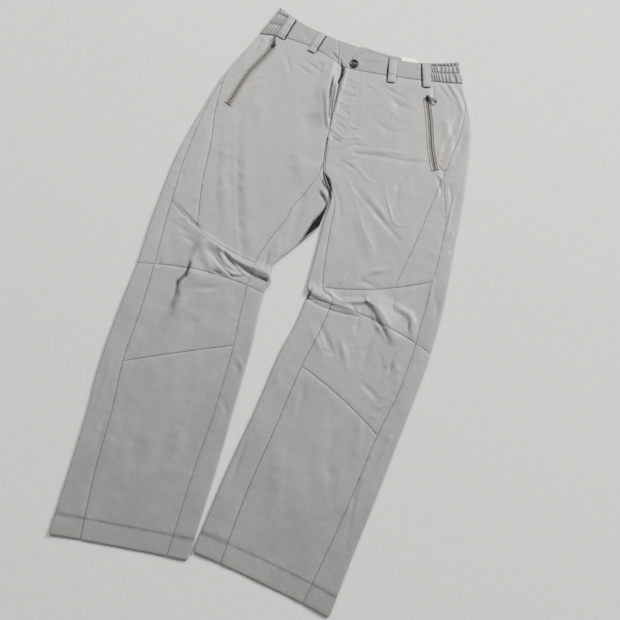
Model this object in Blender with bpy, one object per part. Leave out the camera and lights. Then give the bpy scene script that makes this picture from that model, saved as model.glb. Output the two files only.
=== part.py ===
"""Hiking trousers laid flat with the front up.

Each leg half is a flattened cloth tube, described by a short table of rows from the waist
seam to the hem. Right and left are the wearer's. X runs across, Y up towards the waist and
Z up from the surface. All table sizes are in millimetres.
"""

import math
from typing import NamedTuple

import bmesh
import bpy
import numpy as np
from mathutils import Matrix

MM = 0.001
CLOTH = 1.2
SEAM_GAP = 0.4
EDGE_RADIUS = 2.6
LAYER_RISE = 3.1
SETTLE_REACH = 38.0
ARC_SHARE = math.pi / 2 - 1.0
LEAST_STEP = 0.5
FOLDED_EASE = 0.05
OPEN_SIDE = 300.0
STEP_U = 0.05
STEP_V = 0.002
METAL_GAP = 0.35
LEAST_AWAY = 0.6
TURN_BLEND = 1.5
BLEND_POWER = 6


class Row(NamedTuple):
    """One line across a half, from its outer edge to its inner edge or the fly."""

    name: str
    outer_x: float
    outer_y: float
    inner_x: float
    inner_y: float
    bow: float
    diagonal: float
    side: float
    inseam: float
    closed: float


RIGHT_ROWS = (
    Row("band top", -194, 537, -38, 508, -8, -45, -45, 0, 0),
    Row("waist seam", -215, 468, -36, 453, 17, -20, -20, 0, 0),
    Row("hip", -251, 372, -29, 380, 4, 1, 1, 0, 0),
    Row("zip end", -267, 292, -20, 302, 0, 22, 5, 0, 0),
    Row("crotch", -278, 222, -8, 234, 0, 47, 12, 3, 1),
    Row("inner thigh", -282, 182, 19, 184, -2, 57, 15, 44, 1),
    Row("parting", -284, 148, 20, 134, -8, 65, 18, 62, 1),
    Row("low thigh", -284, 124, -8, 78, -16, 75, 21, 52, 1),
    Row("upper knee seam", -284, 102, -40, 22, -22, 88, 24, 33, 1),
    Row("knee", -283, 30, -33, -6, -2, 27, 27, 38, 1),
    Row("lower knee seam", -279, -46, -38, -28, 14, 30, 30, 34, 1),
    Row("below knee", -280, -142, -35, -76, 8, 38, 38, 33, 1),
    Row("slant seam", -277, -243, -29, -122, 2, 41, 41, 34, 1),
    Row("shin", -267, -330, -23, -232, 0, 43, 43, 33, 1),
    Row("low shin", -260, -430, -17, -360, 0, 44, 44, 38, 1),
    Row("hem", -254, -537, -14, -506, 0, 54, 54, 36, 1),
)

LEFT_ROWS = (
    Row("band top", 178, 535, -34, 508, -16, -45, -45, 0, 0),
    Row("waist seam", 198, 492, -36, 453, -4, -12, -12, 0, 0),
    Row("hip", 238, 408, -29, 380, 0, 16, 16, 0, 0),
    Row("zip end", 258, 300, -20, 302, 0, 43, 43, 0, 0),
    Row("crotch", 268, 218, -8, 234, 0, 61, 28, 3, 1),
    Row("inner thigh", 271, 178, 21, 184, 0, 68, 24, 9, 1),
    Row("parting", 275, 140, 24, 134, -6, 77, 25, 14, 1),
    Row("low thigh", 277, 122, 28, 74, -12, 86, 27, 19, 1),
    Row("upper knee seam", 278, 106, 32, 12, -16, 95, 29, 29, 1),
    Row("knee", 284, 28, 38, 0, 0, 32, 32, 40, 1),
    Row("lower knee seam", 284, -42, 38, -12, 15, 31, 31, 46, 1),
    Row("below knee", 278, -132, 34, -64, 12, 30, 30, 46, 1),
    Row("slant seam", 269, -232, 23, -122, 13, 39, 39, 48, 1),
    Row("shin", 262, -312, 14, -228, 6, 40, 40, 46, 1),
    Row("low shin", 252, -410, 0, -350, 3, 42, 42, 46, 1),
    Row("hem", 242, -520, -11, -490, 2, 49, 49, 50, 1),
)

WAIST, HIP, ZIP_END, CROTCH = 1, 2, 3, 4
UPPER_KNEE, LOWER_KNEE, SLANT, HEM = 8, 10, 12, 15
RIGHT_TIP, LEFT_TIP = 2 + 1 / 3, 3.0
TIP_WIDTH, CROTCH_EASE = 1.6, 1.3


class Fold(NamedTuple):
    """A soft ridge (or, with a negative rise, a trough) along a line of plan points.

    Each point has its rise and its reach to the left and right of the line.
    """

    name: str
    points: tuple
    rise: tuple
    reach_left: tuple
    reach_right: tuple


FOLDS = (
    Fold("right knee edge", ((-208, 54), (-172, 39), (-142, 25)), (1.0, 3.5, 4.5), (6, 6, 6),
         (20, 26, 18)),
    Fold("right knee roll", ((-142, 24), (-112, 14), (-82, 8), (-60, 5), (-40, 2)),
         (4, 8, 10.5, 12, 12), (8, 10, 12, 12, 11), (6, 7, 8, 9, 9)),
    Fold("right knee middle", ((-138, 16), (-122, 4), (-104, -3)), (2, 3.5, 2), (6, 7, 6),
         (6, 7, 6)),
    Fold("right knee cup", ((-154, 10), (-136, -6), (-114, -13), (-92, -9)), (0, 4, 4.5, 1),
         (9, 10, 9, 8), (8, 8, 8, 7)),
    Fold("right knee ridge", ((-176, 22), (-160, 4), (-148, -10), (-134, -20)), (1, 3, 2.5, 0),
         (12, 14, 12, 10), (12, 14, 12, 10)),
    Fold("right knee drop", ((-174, 24), (-184, -8), (-183, -32), (-195, -54), (-190, -84),
                             (-197, -150)),
         (2.5, 4, 8, 6.5, 3.5, 0), (30, 34, 38, 36, 34, 30), (16, 14, 6, 6, 9, 9)),
    Fold("right thigh wave", ((-205, 300), (-158, 180), (-110, 62)), (0, 3, 1), (34, 34, 34),
         (20, 20, 20)),
    Fold("right fly puff", ((-55, 450), (-47, 396), (-40, 350), (-30, 318)), (5, 9, 6, 0),
         (11, 11, 10, 8), (34, 34, 30, 24)),
    Fold("left knee roll", ((40, 6), (66, 0), (92, -10), (115, -17), (135, -24)),
         (7, 9, 8, 6, 2.5), (17, 16, 14, 10, 7), (14, 14, 13, 10, 7)),
    Fold("left knee fold", ((106, 6), (128, 10), (144, 18)), (1.5, 4, 5), (7, 8, 8), (7, 8, 8)),
    Fold("left knee drop", ((144, 19), (160, 11), (173, -4), (186, -18), (206, -36)),
         (5, 9, 11, 10, 4), (24, 30, 34, 34, 26), (6, 9, 13, 18, 22)),
    Fold("left knee outer", ((202, 20), (226, 14), (236, 3), (238, -12), (247, -29)),
         (1.5, 4.5, 5, 4, 0), (12, 12, 12, 12, 10), (6, 7, 7, 7, 7)),
    Fold("left knee soft", ((134, -14), (126, -60), (120, -120)), (0, -1.2, 0), (18, 18, 18),
         (18, 18, 18)),
    Fold("left hip wave", ((70, 190), (110, 130), (150, 70)), (0, 3, 0), (16, 16, 16),
         (16, 16, 16)),
)


def smooth(t):
    """Eases from 0 to 1."""
    t = min(max(t, 0.0), 1.0)
    return t * t * (3.0 - 2.0 * t)


def fold_height(fold, x, y):
    """Height that one fold adds at a plan point, blended over the stretches of its line."""
    total = reach = rise = 0.0
    for i, ((ax, ay), (bx, by)) in enumerate(zip(fold.points, fold.points[1:])):
        dx, dy = bx - ax, by - ay
        length = math.hypot(dx, dy)
        t = min(max(((x - ax) * dx + (y - ay) * dy) / length**2, 0.0), 1.0)
        away = math.hypot(x - ax - t * dx, y - ay - t * dy, LEAST_AWAY)
        turn = (dx * (y - ay) - dy * (x - ax)) / (length * away)
        on_left = 0.5 + 0.5 * min(max(TURN_BLEND * turn, -1.0), 1.0)
        weight = away**-BLEND_POWER
        left = fold.reach_left[i] + t * (fold.reach_left[i + 1] - fold.reach_left[i])
        right = fold.reach_right[i] + t * (fold.reach_right[i + 1] - fold.reach_right[i])
        total += weight
        reach += weight * (right + on_left * (left - right))
        rise += weight * (fold.rise[i] + t * (fold.rise[i + 1] - fold.rise[i]))
    away = total ** (-1 / BLEND_POWER)
    return rise / total * smooth(1.0 - away * total / reach)


def spline(values, v):
    """Smooth curve through one value per row."""
    i = min(max(int(v), 0), len(values) - 2)
    t = v - i
    a = values[max(i - 1, 0)]
    b, c = values[i], values[i + 1]
    d = values[min(i + 2, len(values) - 1)]
    first, last = (c - a) / 2, (d - b) / 2
    if (c - b) * (b - a) <= 0:
        first = 0.0
    if (d - c) * (c - b) <= 0:
        last = 0.0
    t2, t3 = t * t, t * t * t
    return (
        b * (2 * t3 - 3 * t2 + 1)
        + first * (t3 - 2 * t2 + t)
        + c * (3 * t2 - 2 * t3)
        + last * (t3 - t2)
    )


class Half:
    """One leg half as a loop round its section: 0 at the outer edge, + on the front."""

    def __init__(self, rows, hand):
        self.table = {name: [getattr(r, name) for r in rows] for name in Row._fields[1:]}
        self.hand = hand

    def value(self, name, v):
        return spline(self.table[name], v)

    def ends(self, v):
        outer = (self.value("outer_x", v), self.value("outer_y", v))
        folded = min(4 * self.inner_radius(v) / EDGE_RADIUS, 1.0)
        shift = SEAM_GAP / 2 + (CLOTH / 2 + FOLDED_EASE) * folded
        inner = (self.value("inner_x", v) + self.hand * shift, self.value("inner_y", v))
        return outer, inner

    def width(self, v):
        outer, inner = self.ends(v)
        return math.hypot(inner[0] - outer[0], inner[1] - outer[1])

    def inner_radius(self, v):
        return EDGE_RADIUS * min(max(self.value("closed", v), 0.0), 1.0)

    def half_loop(self, v):
        """Length from the outer to the inner edge, along the cloth."""
        return self.width(v) + ARC_SHARE * (EDGE_RADIUS + self.inner_radius(v))

    def from_outer(self, plan):
        """Loop place of a plan distance from the outer edge."""
        return math.copysign(abs(plan) + ARC_SHARE * EDGE_RADIUS * smooth(abs(plan) / 3), plan)

    def side_place(self, v):
        return self.from_outer(self.value("side", v))

    def diagonal_place(self, v):
        return self.from_outer(self.value("diagonal", v))

    def inseam_place(self, v):
        """Loop place of the inner seam, reached over the front."""
        plan = self.value("inseam", v)
        return self.half_loop(v) - plan - ARC_SHARE * self.inner_radius(v)

    def front_end(self, v):
        """Inner end of the front pieces, drawn back where the seat rises to the crotch."""
        return self.inseam_place(v) - (CROTCH_EASE if ZIP_END < v <= CROTCH else 0.0)

    def outer_seam(self, v, tip):
        """Outer seam of the back pieces: the diagonal above the side wedge's tip."""
        if v >= UPPER_KNEE:
            return self.side_place(v)
        diagonal = self.diagonal_place(v)
        return diagonal if v < tip - 0.01 else min(self.side_place(v), diagonal - TIP_WIDTH)

    def inseam_place_behind(self, v):
        """The same seam, reached round the back."""
        return self.inseam_place(v) - 2 * self.half_loop(v)

    def middle(self, u, v):
        """Point on the middle of the cloth wall."""
        loop = self.half_loop(v)
        if u < -loop:
            u = u + 2 * loop if self.inner_radius(v) > 1e-6 else -loop
        outer, inner = self.ends(v)
        width = self.width(v)
        radius, inner_radius = EDGE_RADIUS, self.inner_radius(v)
        front = u >= 0
        u = abs(u)
        quarter, inner_quarter = math.pi / 2 * radius, math.pi / 2 * inner_radius
        if u < quarter:
            across, lift = radius * (1 - math.cos(u / radius)), math.sin(u / radius)
        elif inner_radius > 1e-6 and u > loop - inner_quarter:
            angle = (loop - u) / inner_radius
            across = width - inner_radius * (1 - math.cos(angle))
            lift = math.sin(angle)
        else:
            across, lift = radius + u - quarter, 1.0
        share = across / width
        x = outer[0] + share * (inner[0] - outer[0])
        y = outer[1] + share * (inner[1] - outer[1])
        y += 4 * share * (1 - share) * self.value("bow", v)
        if not front:
            return x, y, CLOTH / 2 + EDGE_RADIUS * (1 - lift)
        inward = min(across, width - across + OPEN_SIDE * (1 - inner_radius / radius))
        settled = 1 - math.exp(-((inward / SETTLE_REACH) ** 2))
        z = CLOTH / 2 + EDGE_RADIUS * (1 + lift) - lift * settled * (2 * EDGE_RADIUS - LAYER_RISE)
        return x, y, z + lift * sum(fold_height(fold, x, y) for fold in FOLDS)

    def frame(self, u, v):
        """Middle point, outward direction and the plan speed along the leg."""
        here = np.array(self.middle(u, v))
        v2 = v + STEP_V if v + STEP_V < HEM else v - STEP_V
        along = (np.array(self.middle(u, v2)) - here) / (v2 - v)
        round_u = np.array(self.middle(u + STEP_U, v)) - np.array(self.middle(u - STEP_U, v))
        normal = self.hand * np.cross(round_u, along)
        return here, normal / np.linalg.norm(normal), np.linalg.norm(along)

    def locate(self, x, y):
        """Loop place and row of a plan point on the front."""
        u, v = self.half_loop(2) / 2, 2.0
        for _ in range(40):
            here = np.array(self.middle(u, v)[:2])
            du = (np.array(self.middle(u + 0.5, v)[:2]) - here) / 0.5
            dv = (np.array(self.middle(u, v + 0.01)[:2]) - here) / 0.01
            step = np.linalg.solve(np.column_stack([du, dv]), np.array([x, y]) - here)
            u = min(max(u + 0.7 * step[0], EDGE_RADIUS * 2), self.half_loop(v))
            v = min(max(v + 0.7 * step[1], 0.0), HEM - 0.1)
        return u, v


def new_piece(name, grid, outward, thickness, material):
    """Closed cloth piece from a grid of middle points and their outward directions."""
    grid, outward = np.asarray(grid), np.asarray(outward)
    mesh = bmesh.new()
    sides = []
    for offset in (thickness / 2, -thickness / 2):
        points = (grid + outward * offset) * MM
        sides.append([[mesh.verts.new(p) for p in line] for line in points])
    top, bottom = sides
    rows, columns = grid.shape[:2]
    for i in range(rows - 1):
        for j in range(columns - 1):
            quad = (top[i][j], top[i][j + 1], top[i + 1][j + 1], top[i + 1][j])
            mesh.faces.new(quad)
            quad = (bottom[i][j], bottom[i + 1][j], bottom[i + 1][j + 1], bottom[i][j + 1])
            mesh.faces.new(quad)
    rim = [(0, j) for j in range(columns)]
    rim += [(i, columns - 1) for i in range(1, rows)]
    rim += [(rows - 1, j) for j in range(columns - 2, -1, -1)]
    rim += [(i, 0) for i in range(rows - 2, 0, -1)]
    for (a, b), (c, d) in zip(rim, rim[1:] + rim[:1]):
        mesh.faces.new((top[a][b], bottom[a][b], bottom[c][d], top[c][d]))
    return finish(name, mesh, material)


def finish(name, mesh, material):
    """Turns a bmesh into a scene object with its faces out."""
    bmesh.ops.recalc_face_normals(mesh, faces=mesh.faces)
    if mesh.calc_volume(signed=True) < 0:
        bmesh.ops.reverse_faces(mesh, faces=mesh.faces)
    data = bpy.data.meshes.new(name)
    mesh.to_mesh(data)
    mesh.free()
    piece = bpy.data.objects.new(name, data)
    data.materials.append(material)
    bpy.context.collection.objects.link(piece)
    return piece


def new_material(name, colour, roughness, metallic=0.0):
    material = bpy.data.materials.new(name)
    material.use_nodes = True
    shader = material.node_tree.nodes["Principled BSDF"]
    shader.inputs["Base Color"].default_value = (*colour, 1.0)
    shader.inputs["Roughness"].default_value = roughness
    shader.inputs["Metallic"].default_value = metallic
    return material


CLOTH_COLOURS = {"main": (0.40, 0.40, 0.37), "tape": (0.22, 0.19, 0.12)}


def cloth_material(name, tone="main"):
    return new_material(name + "_cloth", CLOTH_COLOURS[tone], 0.85)


def panel(name, half, rows, places, first_gap=True, last_gap=True, bulge=None, start=None):
    """Cloth piece over a range of rows; places(v) lists the loop places across it.

    bulge(place, row) lifts the cloth; start(share) moves its first row down.
    """
    grid, outward = [], []
    for i, row in enumerate(rows):
        line, directions = [], []
        across = places(row)
        for j, place in enumerate(across):
            v = row
            if start:
                first = start(place, across)
                v = first + (row - rows[0]) / (rows[-1] - rows[0]) * (rows[-1] - first)
            here, normal, speed = half.frame(place, v)
            inset = SEAM_GAP / 2 / speed
            if i == 0 and first_gap:
                here, normal, _ = half.frame(place, v + inset)
            if i == len(rows) - 1 and last_gap:
                here, normal, _ = half.frame(place, v - inset)
            if bulge:
                here = here + normal * bulge(place, v)
            line.append(here)
            directions.append(normal)
        grid.append(line)
        outward.append(directions)
    return new_piece(name, grid, outward, CLOTH, cloth_material(name))


def steps(first, last, count):
    return [first + (last - first) * i / count for i in range(count + 1)]


def row_steps(first, last):
    """Rows between two whole rows, closer together over the knee."""
    found = [first]
    for i in range(math.floor(first), math.ceil(last)):
        parts = {UPPER_KNEE: 5, UPPER_KNEE + 1: 6, LOWER_KNEE: 4,
                 WAIST: 3, HIP: 3, ZIP_END: 3}.get(i, 2)
        found += [v for v in steps(i, i + 1, parts) if first + 0.01 < v < last - 0.01]
    return sorted({round(v, 4) for v in found + [last]})


def across(first, last, count):
    """Loop places between two seams, half a seam gap in from each.

    Where the first seam lies behind, the places still follow the folded edge.
    """
    arc = math.pi / 2 * EDGE_RADIUS

    def places(v):
        start, end = first(v) + SEAM_GAP / 2, last(v) - SEAM_GAP / 2
        found = steps(start, end, count)
        for k, stop in enumerate((-arc, -arc / 2, 0, arc / 2, arc), start=1):
            if found[0] < arc:
                found[k] = max(stop, found[k - 1] + LEAST_STEP)
        if found[0] < arc:
            found[5:] = steps(found[5], end, count - 5)
        return found

    return places


def behind(half, first):
    """Loop places from a front outer seam, round the back, to the front inner seam."""

    def places(v):
        loop, arc = half.half_loop(v), math.pi / 2 * EDGE_RADIUS
        inner_arc = max(math.pi / 2 * half.inner_radius(v), 0.4)
        start = first(v) - SEAM_GAP / 2
        end = half.inseam_place_behind(v) + SEAM_GAP / 2
        flat = steps(-arc, -loop + inner_arc, 5)
        stops = [(start + arc) / 2, arc, arc / 2, 0, -arc / 2, *flat]
        stops += [-loop + inner_arc / 2, -loop, -loop - inner_arc / 2, -loop - inner_arc]
        stops += [(end - loop - inner_arc) / 2]
        found = [start]
        for k, stop in enumerate(stops):
            low = end + LEAST_STEP * (len(stops) - k)
            found.append(max(min(stop, found[-1] - LEAST_STEP), low))
        return found + [end]

    return places


def build_leg(side, half, tip):
    """All the cut pieces of one leg half, waist seam to hem."""
    knee_columns, thigh_columns = 22, 16
    panel(
        f"{side}_front_thigh", half, row_steps(WAIST, UPPER_KNEE),
        across(half.diagonal_place, half.front_end, thigh_columns),
    )
    wedge_rows = [tip] + [v for v in row_steps(WAIST, UPPER_KNEE) if v > tip + 0.1]
    panel(
        f"{side}_side_thigh", half, wedge_rows,
        lambda v: wedge(half, v, tip),
    )
    for name, first, last in (
        ("upper_knee", UPPER_KNEE, LOWER_KNEE),
        ("lower_knee", LOWER_KNEE, SLANT),
        ("shin", SLANT, HEM),
    ):
        panel(
            f"{side}_{name}", half, row_steps(first, last),
            across(half.side_place, half.inseam_place, knee_columns),
            last_gap=last != HEM,
        )

    panel(
        f"{side}_back_thigh", half, row_steps(WAIST, LOWER_KNEE),
        behind(half, lambda v: half.outer_seam(v, tip)),
    )
    panel(
        f"{side}_back_calf", half, row_steps(LOWER_KNEE, HEM), behind(half, half.side_place),
        last_gap=False,
    )


def wedge(half, v, tip):
    """Loop places across the side wedge, kept open at its tip."""
    first = half.outer_seam(v, tip) + SEAM_GAP / 2
    return steps(first, half.diagonal_place(v) - SEAM_GAP / 2, 3)


TOP_RIGHT_END, LOW_RIGHT_END = 32.0, 11.0
LEFT_DIP = ((0, 0.62), (10, 0.5), (22, 0.36), (34, 0.18), (44, 0.06), (60, 0.0))
ELASTIC = {"right": (46.0, 46.0), "left": (66.0, 50.0)}
TUNNELS, GATHER_PITCH, GATHER_RISE, GATHER_COLUMNS = 3, 7.0, 1.5, 4
GATHER_FADE, GATHER_CLEAR = 6.0, 17.0


def table_value(table, place):
    """Straight-line reading of a two-column table."""
    for (a, low), (b, high) in zip(table, table[1:]):
        if place <= b:
            return low + (high - low) * (place - a) / (b - a)
    return table[-1][1]


def build_elastic(side, half):
    """Elasticated side of the waistband, wrapped round the outer edge in three tunnels."""
    front, back = ELASTIC[side]
    arc = math.pi / 2 * EDGE_RADIUS
    count = round((front - arc) / GATHER_PITCH * GATHER_COLUMNS)

    def places(_):
        folded = [-back + SEAM_GAP / 2, -back / 2, -arc, -arc / 2, 0, arc / 2]
        return folded + steps(arc, front - SEAM_GAP / 2, count)

    def gather(place, v):
        if place <= arc:
            return 0.0
        fade = smooth((place - arc) / GATHER_FADE)
        fade *= smooth((front - GATHER_CLEAR - place) / GATHER_FADE)
        wave = 0.5 - 0.5 * math.cos(2 * math.pi * (place - arc) / GATHER_PITCH)
        return GATHER_RISE * wave * fade * math.sin(math.pi * ((v * TUNNELS) % 1)) ** 2

    panel(f"{side}_elastic", half, steps(0, WAIST, TUNNELS * 2), places,
          first_gap=False, bulge=gather)


def build_waistband(right, left):
    """Front waistbands, and the back one whose inner face shows between them."""
    gap = SEAM_GAP / 2

    def right_places(v):
        end = TOP_RIGHT_END + (LOW_RIGHT_END - TOP_RIGHT_END) * v
        return steps(ELASTIC["right"][0] + gap, right.half_loop(v) - end, 8)

    def left_places(v):
        return steps(ELASTIC["left"][0] + gap, left.half_loop(v) - gap, 12)

    def dip(place, across_places):
        return table_value(LEFT_DIP, across_places[-1] - place)

    panel("right_waistband", right, steps(0, WAIST, 3), right_places, first_gap=False)
    panel("left_waistband", left, steps(0, WAIST, 3), left_places, first_gap=False, start=dip)
    grid = []
    for v in (0.0, 0.5, 1.0):
        line = []
        for half, side in ((right, "right"), (left, "left")):
            end = -half.half_loop(v)
            flat = steps(-math.pi / 2 * EDGE_RADIUS, end + 0.4, 5)
            start = -ELASTIC[side][1] - gap
            places = [start] + [place for place in flat if place < start - 4] + [end]
            row = min(v, 1 - gap / half.frame(places[-1], v)[2])
            found = [half.middle(place, row) for place in places]
            line += found[:-1] if side == "right" else found[::-1]
        grid.append(line)
    upward = np.zeros((3, len(grid[0]), 3))
    upward[:, :, 2] = 1.0
    new_piece("back_waistband", grid, upward, CLOTH, cloth_material("back_waistband"))


class Strap(NamedTuple):
    """A belt loop from its top to its foot."""

    side: str
    top: tuple
    foot: tuple


LOOPS = (
    Strap("right", (-164, 524), (-173, 474)),
    Strap("right", (-97, 511), (-106, 464)),
    Strap("left", (54, 502), (64, 451)),
    Strap("left", (118, 512), (134, 463)),
)
LOOP_WIDTH, LOOP_RISE = 14.0, 1.0


def lying_on(name, half, path, width, rise, thickness, material, columns=2):
    """Strip along a path, made from the points of the cloth it lies on, moved out."""
    grid, outward = [], []
    for i, (x, y) in enumerate(path):
        ax, ay = path[max(i - 1, 0)]
        bx, by = path[min(i + 1, len(path) - 1)]
        length = math.hypot(bx - ax, by - ay)
        side_x, side_y = -(by - ay) / length, (bx - ax) / length
        line, directions = [], []
        for offset in steps(-width / 2, width / 2, columns):
            place = half.locate(x + side_x * offset, y + side_y * offset)
            here, normal, _ = half.frame(*place)
            line.append(here + normal * (CLOTH / 2 + rise + thickness / 2))
            directions.append(normal)
        grid.append(line)
        outward.append(directions)
    return new_piece(name, grid, outward, thickness, material)


def build_loops(halves):
    for i, strap in enumerate(LOOPS, start=1):
        path = [
            tuple(a + (b - a) * t for a, b in zip(strap.top, strap.foot))
            for t in steps(0, 1, 6)
        ]
        name = f"belt_loop_{i}"
        lying_on(name, halves[strap.side], path, LOOP_WIDTH, LOOP_RISE, CLOTH,
                 cloth_material(name))


ZIPS = {
    "right": ((-180, 454), (-188, 432), (-197, 410), (-207, 388), (-213, 366), (-217, 344),
              (-221, 324), (-225, 306)),
    "left": ((141, 442), (149, 423), (156, 405), (163, 387), (169, 369), (176, 347),
             (186, 324), (197, 302)),
}
TAPE_WIDTH, TAPE_THICK, TAPE_RISE = 9.0, 1.0, 0.8
TAB_HEADING = {"right": 102.0, "left": -15.0}
SLIDER_LENGTH, SLIDER_WIDTH, SLIDER_BASE = 9.0, 6.5, 1.2
WINDOW_HALF, WINDOW_HEIGHT, CROWN_WALL, CROWN_WIDTH = 1.9, 1.7, 0.9, 2.0
TAB_LENGTH, TAB_WIDTH, TAB_THICK = 15.0, 5.0, 1.1
EYE_WIDTH, EYE_LENGTH, BAR_HALF = 2.8, 4.0, 0.6
SLIDER_CORNER, CROWN_SINK, WINDOW_CORNER = 1.4, 0.9, 0.4


def block(mesh, x_range, y_range, z_range):
    """Adds one box to a bmesh."""
    size = [high - low for low, high in (x_range, y_range, z_range)]
    centre = [(high + low) / 2 for low, high in (x_range, y_range, z_range)]
    made = bmesh.ops.create_cube(mesh, size=1.0)["verts"]
    bmesh.ops.scale(mesh, vec=size, verts=made)
    bmesh.ops.translate(mesh, vec=centre, verts=made)
    return made


def placed(piece, spot, heading):
    """Puts a piece at a spot, with its local Y along the heading; scale stays in the mesh."""
    piece.data.transform(Matrix.Diagonal((MM, MM, MM, 1.0)))
    piece.location = [c * MM for c in spot]
    piece.rotation_euler = (0.0, 0.0, math.radians(heading - 90.0))
    return piece


def ring_mesh(outer, inner, half_width):
    """Closed ring between two outlines in Y and Z, across X."""
    mesh = bmesh.new()
    loops = []
    for x in (-half_width, half_width):
        for outline in (outer, inner):
            loops.append([mesh.verts.new((x, y, z)) for y, z in outline])
    low_outer, low_inner, high_outer, high_inner = loops
    for a, b in ((low_outer, low_inner), (low_inner, high_inner),
                 (high_inner, high_outer), (high_outer, low_outer)):
        for k in range(len(a)):
            n = (k + 1) % len(a)
            mesh.faces.new((a[k], a[n], b[n], b[k]))
    return mesh


def build_zip(side, half):
    """Zip tape on its pocket opening, the slider at its top and the pull tab."""
    path = ZIPS[side]
    lying_on(f"{side}_zip_tape", half, path, TAPE_WIDTH, TAPE_RISE, TAPE_THICK,
             cloth_material(f"{side}_zip_tape", "tape"))
    (x, y), (next_x, next_y) = path[0], path[1]
    surface = half.middle(*half.locate(x, y))[2]
    base = surface + CLOTH / 2 + TAPE_RISE + TAPE_THICK + METAL_GAP
    metal = new_material(f"{side}_slider_metal", (0.05, 0.05, 0.05), 0.35, 1.0)
    along = math.degrees(math.atan2(y - next_y, x - next_x))
    window = SLIDER_BASE + WINDOW_HEIGHT
    reach = WINDOW_HALF + CROWN_WALL
    foot = SLIDER_BASE - CROWN_SINK
    outer = ((-reach, foot), (reach, foot), (reach, window), (WINDOW_HALF, window + CROWN_WALL),
             (-WINDOW_HALF, window + CROWN_WALL), (-reach, window))
    chamfer, shoulder = window - WINDOW_CORNER, WINDOW_HALF - WINDOW_CORNER
    inner = ((-WINDOW_HALF, SLIDER_BASE), (WINDOW_HALF, SLIDER_BASE), (WINDOW_HALF, chamfer),
             (shoulder, window), (-shoulder, window), (-WINDOW_HALF, chamfer))
    crown = finish(f"{side}_crown", ring_mesh(outer, inner, CROWN_WIDTH / 2), metal)
    placed(crown, (x, y, base), TAB_HEADING[side])
    crown.hide_render = True
    crown.display_type = "WIRE"
    mesh = bmesh.new()
    block(mesh, (-SLIDER_WIDTH / 2, SLIDER_WIDTH / 2), (-SLIDER_LENGTH / 2, SLIDER_LENGTH / 2),
          (0.0, SLIDER_BASE))
    upright = [e for e in mesh.edges if abs(e.verts[0].co.z - e.verts[1].co.z) > SLIDER_BASE / 2]
    bmesh.ops.bevel(mesh, geom=upright, offset=SLIDER_CORNER, segments=2, profile=0.5,
                    affect="EDGES", material=-1)
    slider = placed(finish(f"{side}_slider", mesh, metal), (x, y, base), along)
    joined = slider.modifiers.new("crown", "BOOLEAN")
    joined.operation, joined.solver, joined.object = "UNION", "EXACT", crown

    mesh = bmesh.new()
    stops_x = (-TAB_WIDTH / 2, -EYE_WIDTH / 2, EYE_WIDTH / 2, TAB_WIDTH / 2)
    stops_y = (-BAR_HALF, BAR_HALF, BAR_HALF + EYE_LENGTH, TAB_LENGTH)
    grid = [[mesh.verts.new((a, b, -TAB_THICK / 2)) for a in stops_x] for b in stops_y]
    cells = [
        mesh.faces.new((grid[j][i], grid[j][i + 1], grid[j + 1][i + 1], grid[j + 1][i]))
        for j in range(3) for i in range(3) if (i, j) != (1, 1)
    ]
    raised = bmesh.ops.extrude_face_region(mesh, geom=cells, use_keep_orig=True)["geom"]
    moved = [v for v in raised if isinstance(v, bmesh.types.BMVert)]
    bmesh.ops.translate(mesh, vec=(0.0, 0.0, TAB_THICK), verts=moved)
    tab_metal = new_material(f"{side}_pull_metal", (0.06, 0.06, 0.06), 0.4, 1.0)
    bar = base + SLIDER_BASE + WINDOW_HEIGHT / 2
    placed(finish(f"{side}_pull_tab", mesh, tab_metal), (x, y, bar), TAB_HEADING[side])


BUTTON_AT = (-17.0, 467.0)
BUTTON_PROFILE = ((8.4, 0.0), (8.7, 1.2), (8.2, 2.4), (6.8, 2.8), (5.6, 2.0), (2.4, 1.7))
BUTTON_SEGMENTS = 24
LABEL_CORNERS = ((71, 493), (101, 496), (99, 515), (70, 511))
LABEL_RISE, LABEL_THICK = 1.55, 1.0


def build_button(half):
    """Round metal button with a raised rim and a dished middle."""
    mesh = bmesh.new()
    surface = half.middle(*half.locate(*BUTTON_AT))[2] + CLOTH / 2 + METAL_GAP
    rings = []
    turns = [2 * math.pi * k / BUTTON_SEGMENTS for k in range(BUTTON_SEGMENTS)]
    for radius, height in BUTTON_PROFILE:
        rings.append(
            [mesh.verts.new((radius * math.cos(a), radius * math.sin(a), height)) for a in turns]
        )
    for low, high in zip(rings, rings[1:]):
        for k in range(BUTTON_SEGMENTS):
            n = (k + 1) % BUTTON_SEGMENTS
            mesh.faces.new((low[k], low[n], high[n], high[k]))
    mesh.faces.new(rings[0])
    mesh.faces.new(rings[-1])
    metal = new_material("button_metal", (0.05, 0.05, 0.055), 0.35, 1.0)
    placed(finish("button", mesh, metal), (*BUTTON_AT, surface), 90.0)


def build_label():
    """Blank white label standing out between the waistband layers."""
    a, b, c, d = (np.array((*p, LABEL_RISE + LABEL_THICK / 2)) for p in LABEL_CORNERS)
    grid = [[a, b], [(a + d) / 2, (b + c) / 2], [d, c]]
    upward = np.zeros((3, 2, 3))
    upward[:, :, 2] = 1.0
    white = new_material("label_white", (0.8, 0.8, 0.8), 0.6)
    new_piece("label", grid, upward, LABEL_THICK, white)


def main():
    for piece in list(bpy.data.objects):
        bpy.data.objects.remove(piece, do_unlink=True)
    right, left = Half(RIGHT_ROWS, -1.0), Half(LEFT_ROWS, 1.0)
    halves = {"right": right, "left": left}
    build_leg("right", right, RIGHT_TIP)
    build_leg("left", left, LEFT_TIP)
    for side, half in halves.items():
        build_elastic(side, half)
        build_zip(side, half)
    build_waistband(right, left)
    build_loops(halves)
    build_button(left)
    build_label()


main()
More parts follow.
